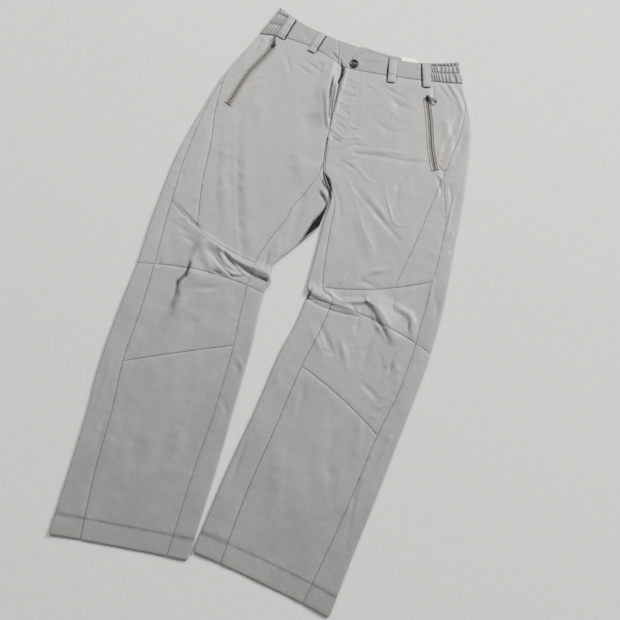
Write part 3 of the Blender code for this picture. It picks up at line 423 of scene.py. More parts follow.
LEFT_CREASES = (
    FLY_GAP,
    *CROTCH_FOLDS,
    Fold("pocket bag", ((110, 253), (127, 216), (150, 178), (163, 174), (189, 184)),
         (0.2, 1.0, 1.1, 0.8, 0.2), 5, 4, Crest.SHARP),
    Fold("pocket bag side", ((152, 296), (140, 250), (146, 205)), (0, -1.3, 0), 8, 8),
    Fold("diagonal one", ((47, 232), (121, 183), (194, 135)), (0, -1.3, 0), 7, 9),
    Fold("diagonal one light", ((52, 244), (116, 200), (150, 172)), (0, 0.7, 0), 8, 10),
    Fold("diagonal two", ((37, 276), (78, 246), (95, 243)), (0.2, 0.8, 0.3), 5, 7, Crest.SHARP),
    Fold("diagonal three", ((20, 255), (53, 223), (88, 193)), (0, 0.7, 0), 5, 7, Crest.SHARP),
    Fold("diagonal four", ((60, 214), (98, 152), (128, 120)), (0, 0.7, 0.3), 5, 7, Crest.SHARP),
    Fold("diagonal five", ((12, 228), (40, 190), (58, 150)), (0, -1.2, 0), 9, 9),
    Fold("pucker low", ((26, 268), (45, 278), (57, 295)), (0, -1.7, 0), 4, 5, Crest.SHARP),
    Fold("under fly", ((41, 290), (87, 298), (135, 304), (178, 314)), (-1.4, -1.2, -1.0, -0.6), 6, 7),
    Fold("under fly light", ((52, 302), (96, 311), (150, 322)), (0, 1.2, 0), 7, 6),
    Fold("hip across", ((57, 432), (93, 413), (135, 409)), (0, -1.4, 0), 9, 9),
    Fold("hip across light", ((60, 410), (92, 392), (128, 384)), (0, 0.8, 0), 9, 10),
    Fold("hip middle", ((44, 372), (84, 356), (128, 360)), (0, -1.0, 0), 10, 10),
    Fold("zip soft", ((197, 389), (197, 346), (195, 313)), (0, 1.3, 0), 8, 8),
    Fold("zip outer shade", ((214, 442), (208, 400), (206, 360)), (-0.6, -1.8, -0.4), 8, 10),
    Fold("side wedge", ((201, 391), (205, 348), (199, 325), (211, 318)), (0, -1.5, -1.2, 0), 5, 6),
    Fold("pocket end one", ((196, 318), (212, 306), (226, 312)), (-1.4, -1.7, 0), 4, 5, Crest.SHARP,
         shade=0.3),
    Fold("pocket end two", ((200, 300), (222, 286), (244, 292)), (0, 1.8, 0.4), 5, 5, Crest.SHARP),
    Fold("pocket end three", ((206, 290), (220, 268), (222, 240)), (-0.6, -1.7, 0), 5, 5),
    Fold("outer strip one", ((228, 292), (243, 254), (248, 193)), (0, -2.1, 0), 5, 5, Crest.SHARP),
    Fold("outer strip two", ((246, 264), (248, 222), (253, 174)), (0.5, 2.0, 0), 5, 5, Crest.SHARP),
    Fold("outer strip four", ((248, 120), (254, 70), (258, 30)), (0, 1.4, 0), 5, 6),
    Fold("outer strip rib one", ((262, 190), (256, 170)), (1.6, -0.4), 4, 5, Crest.SHARP),
    Fold("outer strip rib two", ((266, 152), (256, 134)), (1.6, 0), 4, 5, Crest.SHARP),
    Fold("thigh low soft", ((123, 59), (143, 78), (177, 93)), (-0.2, 1.6, 0.4), 7, 9),
    Fold("thigh low fan one", ((112, 44), (132, 52), (168, 50)), (0, -1.4, 0), 7, 7),
    Fold("thigh low fan two", ((92, 40), (98, 66)), (1.0, 0), 8, 8),
    Fold("below knee one", ((142, -14), (143, -31), (145, -51)), (-1.0, -2.2, 0), 6, 6),
    Fold("below knee two", ((68, -36), (93, -66), (112, -89), (95, -98)), (0, -1.8, -1.6, 0), 9, 7),
    Fold("below knee two light", ((60, -52), (86, -84), (104, -106)), (0, 1.6, 0), 9, 9),
    Fold("below knee three", ((177, -30), (174, -69), (174, -107)), (-0.8, -2.2, 0), 9, 7),
    Fold("below knee four", ((114, -50), (134, -82), (156, -122)), (0, 1.8, 0), 10, 8),
    Fold("below knee five", ((196, -62), (212, -92), (206, -128)), (0, -2.0, 0), 8, 10),
    Fold("below knee six", ((222, -66), (236, -84), (238, -112)), (0, 2.0, 0), 8, 7),
    Fold("shin one", ((82, -140), (88, -182), (91, -236)), (0, -1.5, 0), 10, 9),
    Fold("shin two", ((73, -251), (95, -333), (116, -414)), (0, 1.5, 0), 16, 20),
    Fold("shin three", ((159, -251), (176, -290), (195, -337)), (0, -1.4, 0), 14, 14),
    Fold("shin four", ((176, -125), (201, -136), (224, -151)), (0, -1.8, 0), 7, 8),
    Fold("shin five", ((140, -200), (150, -250), (146, -320)), (0, 1.2, 0), 18, 18),
    Fold("shin six", ((196, -170), (208, -220), (210, -280)), (0, 1.4, 0), 10, 12),
    Fold("outer low one", ((224, -53), (223, -82), (226, -118)), (0, -2.2, 0), 5, 5, Crest.SHARP,
         shade=0.2),
    Fold("outer low ribs one", ((236, -128), (226, -140), (214, -142)), (0, 1.7, 0), 4, 4, Crest.SHARP),
    Fold("outer low ribs two", ((234, -150), (224, -160), (212, -160)), (0, 1.5, 0), 4, 4, Crest.SHARP),
    Fold("outer low ribs three", ((230, -172), (220, -180), (208, -178)), (0, 1.3, 0), 4, 4, Crest.SHARP),
    Fold("outer low two", ((225, -274), (228, -326), (240, -425)), (0, -1.5, 0), 6, 8),
    Fold("outer low three", ((262, -160), (256, -210), (250, -280)), (0, 1.5, 0), 7, 7),
    Fold("inner strip", ((19, -250), (16, -323), (14, -395)), (0, -1.4, 0), 7, 7),
    Fold("inner strip light", ((44, -90), (36, -150), (30, -220)), (0, 1.4, 0), 8, 8),
    Fold("under band one", ((32, 446), (77, 434), (110, 427)), (0, -1.3, 0), 6, 6),
    Fold("under band two", ((24, 438), (60, 424)), (1.0, 0.2), 6, 7),
    Fold("elastic foot one", ((158, 474), (176, 460), (188, 446)), (-1.4, -1.6, 0), 4, 5),
    Fold("elastic foot two", ((169, 483), (191, 463), (205, 450)), (-1.4, -1.6, 0), 4, 5),
    Fold("elastic foot three", ((148, 468), (156, 440), (158, 420)), (-1.2, -1.5, 0), 5, 6),
    Fold("elastic foot four", ((180, 482), (204, 456), (222, 428)), (1.0, 2.0, 0), 6, 7),
    Fold("elastic foot five", ((196, 480), (220, 446), (234, 412)), (-0.6, -1.6, 0), 6, 7),
    Fold("side sweep", ((178, 440), (206, 380), (222, 330)), (0, 2.2, 0.6), 12, 14),
    Fold("side sweep shade", ((236, 400), (232, 360), (226, 326)), (0, -1.6, 0), 8, 9),
    Fold("fly pucker a", ((-18, 436), (8, 432)), (1.1, 0.2), 4, 4),
    Fold("fly pucker b", ((-20, 424), (-2, 416), (10, 420)), (0.3, -1.3, 0), 3, 4),
    Fold("fly pucker c", ((-22, 410), (-4, 406)), (1.4, 0.1), 4, 4),
    Fold("fly pucker d", ((-18, 396), (4, 402), (14, 396)), (0, -1.4, 0), 4, 3),
    Fold("fly pucker e", ((-22, 384), (0, 380), (12, 386)), (0.8, 1.3, 0), 4, 4),
    Fold("fly pucker f", ((-18, 370), (6, 362)), (0, -1.3), 4, 4),
    Fold("fly pucker g", ((-16, 356), (2, 352), (16, 358)), (1.2, 0.8, 0), 4, 4),
    Fold("fly pucker h", ((-14, 338), (4, 332), (12, 322)), (0, -1.5, 0), 4, 4),
    Fold("fly pucker i", ((-12, 322), (6, 312), (22, 316)), (1.4, 1.2, 0), 4, 5),
    Fold("fly pucker j", ((-10, 306), (8, 300)), (-1.3, -0.8), 3, 4),
    Fold("fly pucker k", ((6, 348), (20, 338), (38, 342)), (0, 1.4, 0), 4, 4),
    Fold("fly pucker l", ((16, 310), (34, 322), (50, 318)), (0, 1.5, 0), 4, 5),
    Fold("fly pucker m", ((20, 292), (38, 306), (60, 308)), (0, -1.4, 0), 4, 4),
    Fold("knee crest", ((51, 23), (77, 14), (90, 6), (106, 3), (127, 10), (147, 18), (160, 15)),
         (1.0, 1.4, 1.5, 1.3, 1.5, 1.7, 0.6), 4, 6, Crest.SHARP),
    Fold("knee under roll", ((44, -13), (66, -17), (92, -19), (113, -18), (141, -15)),
         (-2.0, -1.8, -1.8, -1.6, -0.5), 4, 3, Crest.ROUND, shade=0.22),
    Fold("knee short crease", ((119, 4), (128, -3), (135, -8)), (0, -2.4, -0.6), 3, 3, Crest.SHARP,
         shade=0.6),
    Fold("knee hole", ((44, 10), (41, -4), (40, -12)), (-0.6, -3.0, -5.0), 4, 4, Crest.ROUND, shade=0.9),
    Fold("knee ridge shade", ((150, 13), (167, 1), (177, -12), (193, -26), (205, -39), (210, -54)),
         (-0.4, -1.8, -2.4, -2.4, -1.6, 0), 7, 5, Crest.ROUND, shade=0.12),
    Fold("knee facet light", ((150, 18), (170, 12), (188, -4), (204, -20)), (0.4, 1.2, 1.3, 0.4),
         7, 4, Crest.ROUND),
    Fold("knee facet crease", ((194, 38), (197, 15), (224, 14), (231, 4), (233, -8), (242, -18)),
         (-0.3, -1.9, -1.4, -1.8, -1.9, 0), 4, 4, Crest.SHARP, shade=0.2),
    Fold("knee facet top", ((176, 30), (206, 26), (232, 18), (246, 2)), (0, 1.6, 1.6, 0), 6, 5),
    Fold("knee outer dark", ((256, 80), (266, 62), (277, 44), (274, 12)), (0, -1.9, -1.5, 0), 6, 5,
         Crest.SHARP, shade=0.2),
    Fold("fly edge roll", ((-29, 462), (-26, 440), (-25, 404), (-22, 350), (-17, 299), (-9, 250)),
         (1.6, 2.0, 1.6, 1.4, 1.0, 0.3), 5, 5, Crest.ROUND, marked=False),
    Fold("below fly", ((20, 266), (40, 261), (53, 256)), (-0.8, -1.8, -0.4), 4, 4, Crest.SHARP, shade=0.25),
    # Painted shadows beside the belt loops.
    Fold("loop three gap", ((45.2, 504), (55.2, 451)), (-0.8, -0.7), 3, 4, Crest.ROUND,
         marked=False, shade=0.95),
    Fold("loop four gap", ((108.7, 514), (124.7, 463)), (-0.8, -0.8), 3, 4, Crest.ROUND,
         marked=False, shade=0.98),
    Fold("loop three far side", ((62, 500), (72, 458)), (-0.4, -0.5), 2, 3, marked=False, shade=0.4),
    Fold("button ring", ((-29, 467), (-25, 476), (-17, 480), (-8, 476), (-5, 467), (-9, 458)),
         (0.3, 0.9, 1.0, 0.9, 0.9, 0.3), 3, 3, marked=False),
    Fold("band arc", ((-10, 486), (10, 487), (26, 492), (44, 497)), (0.3, 1.2, 1.2, 0.2), 4, 5,
         Crest.SHARP),
)

BACK_CREASES = (
    Fold("seat right one", ((-190, 430), (-160, 350), (-150, 280)), (0, 0.9, 0), 16, 16),
    Fold("seat right two", ((-90, 410), (-70, 340), (-40, 290)), (0, 1.0, 0), 12, 14),
    Fold("seat left one", ((180, 430), (150, 350), (140, 290)), (0, 0.9, 0), 16, 16),
    Fold("seat left two", ((60, 400), (40, 330), (20, 280)), (0, 1.0, 0), 12, 14),
    Fold("right knee back", ((-250, 20), (-160, 0), (-70, -10)), (0.3, 1.2, 0.4), 9, 9),
    Fold("right knee back low", ((-240, -30), (-160, -50), (-80, -40)), (0, 1.0, 0), 10, 10),
    Fold("left knee back", ((60, -16), (150, -6), (250, 10)), (0.3, 1.2, 0.4), 9, 9),
    Fold("left knee back low", ((70, -54), (150, -46), (240, -40)), (0, 1.0, 0), 10, 10),
    Fold("right calf back", ((-180, -180), (-160, -300), (-150, -420)), (0, 0.9, 0), 16, 16),
    Fold("left calf back", ((140, -180), (130, -290), (110, -410)), (0, 0.9, 0), 16, 16),
)


@dataclass(frozen=True)
class Grain:
    """Seeded soft noise between -1 and 1."""

    seed: int
    cells: int = 256

    def at(self, x: np.ndarray, y: np.ndarray) -> np.ndarray:
        """Noise at points given in cells.

        Args:
            x: places across, in cells.
            y: places along, in cells.

        Returns:
            One value for each point.
        """
        table = np.random.default_rng(self.seed).uniform(-1, 1, (self.cells, self.cells))
        column, line = np.floor(x).astype(int), np.floor(y).astype(int)
        right, up = ease(x - column), ease(y - line)
        c0, c1 = column % self.cells, (column + 1) % self.cells
        l0, l1 = line % self.cells, (line + 1) % self.cells
        low = table[c0, l0] + right * (table[c1, l0] - table[c0, l0])
        high = table[c0, l1] + right * (table[c1, l1] - table[c0, l1])
        return low + up * (high - low)


@dataclass
class LegHalf:
    """One leg half of the trousers, as a loop of cloth for each row."""

    side: Side
    rows: tuple[Row, ...]
    creases: tuple[Fold, ...]
    broad: Grain = Grain(11)
    fine: Grain = Grain(12)
    broad_rise: float = 0.5
    fine_rise: float = 0.10
    broad_cell: Plan = (23.0, 31.0)
    fine_cell: Plan = (8.0, 9.0)
    rolling_cell: Plan = (17.0, 13.0)
    rolling_share: float = 0.3
    crease_share: float = 1.5
    columns: dict[str, np.ndarray] = field(default_factory=dict)
    slopes: dict[str, np.ndarray] = field(default_factory=dict)

    def __post_init__(self) -> None:
        """Reads the row table into columns with their slopes."""
        for name in list(Row.__dataclass_fields__)[1:]:
            values = np.array([getattr(row, name) for row in self.rows], float)
            rises = np.diff(values)
            slopes = np.zeros(len(values))
            turning = rises[1:] * rises[:-1] > 0
            slopes[1:-1] = np.where(turning, (values[2:] - values[:-2]) / 2, 0.0)
            self.columns[name], self.slopes[name] = values, slopes

    def value(self, name: str, v: np.ndarray) -> np.ndarray:
        """A table column at rows v, on a smooth curve."""
        values, slopes = self.columns[name], self.slopes[name]
        v = np.asarray(v, float)
        i = np.clip(np.floor(v).astype(int), 0, len(values) - 2)
        t = v - i
        t2, t3 = t * t, t * t * t
        return (
            values[i] * (2 * t3 - 3 * t2 + 1)
            + slopes[i] * (t3 - 2 * t2 + t)
            + values[i + 1] * (3 * t2 - 2 * t3)
            + slopes[i + 1] * (t3 - t2)
        )

    def inner_radius(self, v: np.ndarray) -> np.ndarray:
        """Radius of the inner folded edge: none where the halves join."""
        return EDGE_RADIUS * np.clip(self.value("closed", v), 0.0, 1.0)

    def ends(self, v: np.ndarray) -> tuple[np.ndarray, ...]:
        """Plan ends of a row: outer x, outer y, inner x, inner y."""
        folded = np.minimum(4 * self.inner_radius(v) / EDGE_RADIUS, 1.0)
        shift = SEAM_GAP / 2 + (CLOTH / 2 + FOLDED_EASE) * folded
        inner_x = self.value("inner_x", v) + self.side.value * shift
        return self.value("outer_x", v), self.value("outer_y", v), inner_x, self.value("inner_y", v)

    def width(self, v: np.ndarray) -> np.ndarray:
        """Plan length of a row."""
        outer_x, outer_y, inner_x, inner_y = self.ends(v)
        return np.hypot(inner_x - outer_x, inner_y - outer_y)

    def half_loop(self, v: np.ndarray) -> np.ndarray:
        """Length along the cloth from the outer to the inner edge."""
        return self.width(v) + ARC_SHARE * (EDGE_RADIUS + self.inner_radius(v))

    def from_outer(self, plan: np.ndarray) -> np.ndarray:
        """Loop place of a plan distance from the outer edge."""
        away = np.abs(plan)
        return np.copysign(away + ARC_SHARE * EDGE_RADIUS * ease(away / 3), plan)

    def side_seam(self, v: np.ndarray) -> np.ndarray:
        """Loop place of the side seam."""
        return self.from_outer(self.value("side", v))

    def diagonal_seam(self, v: np.ndarray) -> np.ndarray:
        """Loop place of the long diagonal seam."""
        return self.from_outer(self.value("diagonal", v))

    def inseam(self, v: np.ndarray) -> np.ndarray:
        """Loop place of the inner leg seam, reached over the front."""
        return self.half_loop(v) - self.value("inseam", v) - ARC_SHARE * self.inner_radius(v)

    def front_end(self, v: np.ndarray) -> np.ndarray:
        """Inner end of the front pieces, drawn back at the crotch."""
        return self.inseam(v) - np.where((v > ZIP_END) & (v <= CROTCH), CROTCH_EASE, 0.0)

    def outer_seam(self, v: np.ndarray) -> np.ndarray:
        """Outer seam of the back pieces: the diagonal above the side piece's tip."""
        diagonal = self.diagonal_seam(v)
        below = np.minimum(self.side_seam(v), diagonal - TIP_WIDTH)
        below = np.where(v >= UPPER_KNEE, self.side_seam(v), below)
        return np.where(v < SIDE_TIP[self.side] - 0.01, diagonal, below)

    def inseam_behind(self, v: np.ndarray) -> np.ndarray:
        """The inner leg seam, reached round the back."""
        return self.inseam(v) - 2 * self.half_loop(v)

    def middle(self, u: np.ndarray, v: np.ndarray, plain: bool = False) -> np.ndarray:
        """Points on the middle of the cloth wall.

        Args:
            u: loop places in mm.
            v: rows.
            plain: leaves out folds and creases.

        Returns:
            Points in mm, in a last axis of three.
        """
        u, v = np.broadcast_arrays(np.asarray(u, float), np.asarray(v, float))
        loop, inner_radius = self.half_loop(v), self.inner_radius(v)
        wrapped = np.where(inner_radius > 1e-6, u + 2 * loop, -loop)
        u = np.where(u < -loop, wrapped, u)
        outer_x, outer_y, inner_x, inner_y = self.ends(v)
        width = self.width(v)
        front, place = u >= 0, np.abs(u)
        safe = np.maximum(inner_radius, 1e-6)
        angle = (loop - place) / safe
        at_inner = (inner_radius > 1e-6) & (place > loop - math.pi / 2 * inner_radius)
        at_outer = place < ARC
        across = EDGE_RADIUS + place - ARC
        across = np.where(at_inner, width - inner_radius * (1 - np.cos(angle)), across)
        across = np.where(at_outer, EDGE_RADIUS * (1 - np.cos(place / EDGE_RADIUS)), across)
        lift = np.where(at_inner, np.sin(angle), 1.0)
        lift = np.where(at_outer, np.sin(place / EDGE_RADIUS), lift)
        share = across / width
        x = outer_x + share * (inner_x - outer_x)
        y = outer_y + share * (inner_y - outer_y) + 4 * share * (1 - share) * self.value("bow", v)
        open_side = OPEN_SIDE * (1 - inner_radius / EDGE_RADIUS)
        inward = np.minimum(across, width - across + open_side)
        settled = 1 - np.exp(-((inward / SETTLE_REACH) ** 2))
        z_front = CLOTH / 2 + EDGE_RADIUS * (1 + lift)
        z_front = z_front - lift * settled * (2 * EDGE_RADIUS - LAYER_RISE)
        z_back = CLOTH / 2 + EDGE_RADIUS * (1 - lift)
        if not plain:
            x, y, high = self.folded(x, y, lift * front)
            z_front = z_front + lift * self.relief(x, y, high)
            z_back = z_back + lift * self.back_relief(x, y)
        return np.stack([x, y, np.where(front, z_front, z_back)], axis=-1)

    def folded(self, x: np.ndarray, y: np.ndarray,
               share: np.ndarray) -> tuple[np.ndarray, np.ndarray, np.ndarray]:
        """Leans the cloth over with the main folds.

        Args:
            x: places across, in mm.
            y: places along, in mm.
            share: how far each point follows the folds, 0 on the back.

        Returns:
            The moved places and the height of the main folds.
        """
        high, over_x, over_y = np.zeros_like(x), np.zeros_like(x), np.zeros_like(x)
        for fold in MAIN_FOLDS:
            rise = fold.height(x, y)
            high += rise
            over_x += fold.tuck[0] * rise
            over_y += fold.tuck[1] * rise
        return x + share * over_x, y + share * over_y, high

    def relief(self, x: np.ndarray, y: np.ndarray, high: np.ndarray) -> np.ndarray:
        """Height of the front.

        Args:
            x: places across, in mm.
            y: places along, in mm.
            high: height of the main folds there.

        Returns:
            The main folds' height with the creases and the soft waves, held off the back.
        """
        wave = self.broad.at(x / self.broad_cell[0] + 40, y / self.broad_cell[1] + 40)
        crumple = self.fine.at(x / self.fine_cell[0] + 40, y / self.fine_cell[1] + 40)
        small = sum(fold.height(x, y) for fold in self.creases)
        noise = self.broad.at(x / self.rolling_cell[0] + 9, y / self.rolling_cell[1] + 5)
        rolling = 1 - self.rolling_share + self.rolling_share * noise
        low = -(LAYER_RISE - CLOTH) + LEAST_LAYER_GAP
        small = self.crease_share * small * rolling + self.broad_rise * wave + self.fine_rise * crumple
        return np.maximum(high + small, low)

    def darkness(self, x: np.ndarray, y: np.ndarray) -> np.ndarray:
        """Painted shade in the front's colour where it turns under itself."""
        lit = np.ones_like(x)
        for fold in self.creases:
            if fold.shade > 0:
                lit *= 1 - fold.darkness(x, y)
        return 1 - lit

    def back_relief(self, x: np.ndarray, y: np.ndarray) -> np.ndarray:
        """Height of the back's creases, which lift it off the floor a little."""
        return sum(fold.height(x, y) for fold in BACK_CREASES)


@dataclass(frozen=True)
class Cut:
    """The flat size that a piece was cut to, in metres."""

    width: float
    length: float
    area: float


@dataclass
class ClothGrid:
    """Points of one cloth piece with their outward directions and edge distances, in mm, and the painted
    shade at each point.
    """

    points: np.ndarray
    outward: np.ndarray
    from_side: np.ndarray
    from_end: np.ndarray
    along: np.ndarray
    over: np.ndarray
    darkness: np.ndarray


def lattice(breaks: Sequence[np.ndarray], counts: Sequence[int]) -> np.ndarray:
    """Columns between break places, kept in order where the breaks close up.

    Args:
        breaks: places in rising order, one array over the rows for each.
        counts: columns between each break and the next.

    Returns:
        Places as rows by columns.
    """
    total = sum(counts)
    first, last = np.asarray(breaks[0], float), np.asarray(breaks[-1], float)
    step = np.minimum(LEAST_STEP, (last - first) / (total + 1))
    kept, before = [first], 0
    for place, count in zip(breaks[1:-1], counts):
        before += count
        kept.append(np.clip(place, first + step * before, last - step * (total - before)))
    kept.append(last)
    found = [kept[0][:, None]]
    for low, high, count in zip(kept, kept[1:], counts):
        share = np.arange(1, count + 1) / count
        found.append(low[:, None] + (high - low)[:, None] * share)
    return np.concatenate(found, axis=1)


def between_seams(first: np.ndarray, last: np.ndarray, counts: Sequence[int],
                  breaks: Sequence[np.ndarray] = ()) -> np.ndarray:
    """Columns between two seams, closer beside both.

    Args:
        first: places of the first seam over the rows.
        last: places of the last seam over the rows.
        counts: columns between each break and the next.
        breaks: places in between, such as a folded edge's ends.

    Returns:
        Places as rows by columns.
    """
    near, far = SEAM_COLUMNS
    places = (first, first + near, first + far, *breaks, last - far, last - near, last)
    return lattice(places, (1, 1, *counts, 1, 1))


def row_line(half: LegHalf, first: float, last: float, spacing: float) -> np.ndarray:
    """Row numbers down a half, closer at both ends.

    Args:
        half: the leg half.
        first: row that they start at.
        last: row that they end at.
        spacing: wanted distance between them, in mm.

    Returns:
        Row numbers from first to last.
    """
    probe = np.linspace(first, last, 200)
    line = half.middle(half.half_loop(probe) / 2, probe, plain=True)
    lengths = np.concatenate([[0], np.cumsum(np.linalg.norm(np.diff(line, axis=0), axis=1))])
    total = lengths[-1]
    near, far = SEAM_COLUMNS
    inner = np.linspace(far, total - far, max(math.ceil((total - 2 * far) / spacing), 1) + 1)
    wanted = np.concatenate([[0, near], inner, [total - near, total]])
    return np.interp(wanted, lengths, probe)


def measured(points: np.ndarray, hand: float) -> ClothGrid:
    """Adds outward directions and edge distances to a grid of points."""
    across = np.gradient(points, axis=1)
    down = np.gradient(points, axis=0)
    outward = hand * np.cross(across, down)
    outward /= np.maximum(np.linalg.norm(outward, axis=-1, keepdims=True), 1e-9)
    sideways = np.linalg.norm(np.diff(points, axis=1), axis=-1)
    over = np.concatenate([np.zeros((len(points), 1)), np.cumsum(sideways, axis=1)], axis=1)
    lengthways = np.linalg.norm(np.diff(points, axis=0), axis=-1)
    along = np.concatenate([np.zeros((1, points.shape[1])), np.cumsum(lengthways, axis=0)])
    from_side = np.minimum(over, over[:, -1:] - over)
    from_end = np.minimum(along, along[-1:] - along)
    return ClothGrid(points, outward, from_side, from_end, along, over, np.zeros_like(along))


def cut_size(points: np.ndarray) -> Cut:
    """Flat size of a smooth grid of points in mm."""
    sideways = np.linalg.norm(np.diff(points, axis=1), axis=-1).sum(axis=1)
    lengthways = np.linalg.norm(np.diff(points, axis=0), axis=-1).sum(axis=0)
    a, b = points[1:, 1:] - points[:-1, :-1], points[1:, :-1] - points[:-1, 1:]
    area = np.linalg.norm(np.cross(a, b), axis=-1).sum() / 2
    width, length = float(sideways.max()), float(lengthways.max())
    area = min(float(area), 0.999 * width * length)
    return Cut(width * MM, length * MM, area * MM * MM)


def linked(name: str, data: bpy.types.Mesh, finish: bpy.types.Material) -> bpy.types.Object:
    """Makes a linked object of a mesh with one material."""
    data.materials.append(finish)
    piece = bpy.data.objects.new(name, data)
    bpy.context.collection.objects.link(piece)
    return piece


def from_shape(name: str, shape: bmesh.types.BMesh,
               finish: bpy.types.Material) -> bpy.types.Object:
    """Makes a linked object of a finished bmesh, and frees the bmesh."""
    data = bpy.data.meshes.new(name)
    shape.to_mesh(data)
    shape.free()
    return linked(name, data, finish)


def grid_object(name: str, grid: ClothGrid, points: np.ndarray, flip: bool,
                finish: bpy.types.Material) -> bpy.types.Object:
    """Makes a cloth object from a bmesh grid moved onto points.

    Args:
        name: the piece's name.
        grid: the measured grid, for the UV map and the two attributes.
        points: outer face of the cloth, in mm.
        flip: turns the faces over.
        finish: the cloth's material.

    Returns:
        The linked object, with a UV map in metres along the cloth.
    """
    rows, columns = points.shape[:2]
    shape = bmesh.new()
    bmesh.ops.create_grid(shape, x_segments=columns - 1, y_segments=rows - 1, size=1.0)
    if flip:
        bmesh.ops.reverse_faces(shape, faces=shape.faces)
    data = bpy.data.meshes.new(name)
    shape.to_mesh(data)
    shape.free()
    plan = np.empty(len(data.vertices) * 3, np.float32)
    data.vertices.foreach_get("co", plan)
    plan = plan.reshape(-1, 3)
    column = np.rint((plan[:, 0] + 1) / 2 * (columns - 1)).astype(int)
    row = np.rint((plan[:, 1] + 1) / 2 * (rows - 1)).astype(int)
    data.vertices.foreach_set("co", (points[row, column] * MM).astype(np.float32).ravel())
    edge = data.attributes.new("seam_distance", "FLOAT", "POINT")
    nearest = np.minimum(grid.from_side, grid.from_end)[row, column]
    edge.data.foreach_set("value", nearest.astype(np.float32))
    painted_shade = data.attributes.new("fold_shade", "FLOAT", "POINT")
    painted_shade.data.foreach_set("value", grid.darkness[row, column].astype(np.float32))
    corners = np.empty(len(data.loops), np.int32)
    data.loops.foreach_get("vertex_index", corners)
    uv = data.uv_layers.new(name="cloth")
    flat = np.stack([grid.over[row, column], grid.along[row, column]], axis=-1) * MM
    uv.data.foreach_set("uv", flat[corners].astype(np.float32).ravel())
    data.polygons.foreach_set("use_smooth", np.ones(len(data.polygons), bool))
    data.update()
    return linked(name, data, finish)


def thicken(piece: bpy.types.Object, thickness: float) -> None:
    """Gives a cloth face its wall, inwards."""
    wall = piece.modifiers.new("wall", "SOLIDIFY")
    wall.thickness = thickness * MM
    wall.offset = -1.0
    wall.use_rim = True


@dataclass(frozen=True)
class SeamFeel:
    """How a sewn edge lies: how far it turns down and how it puckers, in mm."""

    turn: float = 0.4
    turn_reach: float = 1.3
    dip: float = 0.35
    dip_reach: float = 5.0
    pucker: float = 0.30
    pucker_reach: float = 8.0
    pucker_pitch: float = 7.0

    def offset(self, grid: ClothGrid, seed: int) -> np.ndarray:
        """Outward move of each point near the sewn edges."""
        noise = Grain(seed)
        near = np.minimum(grid.from_side, grid.from_end)
        moved = -self.turn * np.exp(-((near / self.turn_reach) ** 2))
        moved -= self.dip * np.exp(-((near / self.dip_reach) ** 2))
        down = noise.at(grid.along / self.pucker_pitch + 7, grid.over / 60 + 3)
        sideways = noise.at(grid.over / self.pucker_pitch + 50, grid.along / 60 + 9)
        moved += self.pucker * np.exp(-grid.from_side / self.pucker_reach) * down
        moved += self.pucker * np.exp(-grid.from_end / self.pucker_reach) * sideways
        return moved


@dataclass(frozen=True)
class FreeEdge:
    """How a free edge turns in: its depth and its reach, in mm."""

    depth: float
    reach: float

    def drop(self, away: np.ndarray) -> np.ndarray:
        """Inward move at distances from the edge."""
        return self.depth * np.exp(-((away / self.reach) ** 2))


TOP_EDGE = FreeEdge(1.1, 1.6)
FOOT_EDGE = FreeEdge(0.5, 1.5)
HEM_LAYER, HEM_RIDGE, HEM_WAVE = 0.35, 0.25, 4.1
Bulge = Callable[[np.ndarray, np.ndarray], np.ndarray]


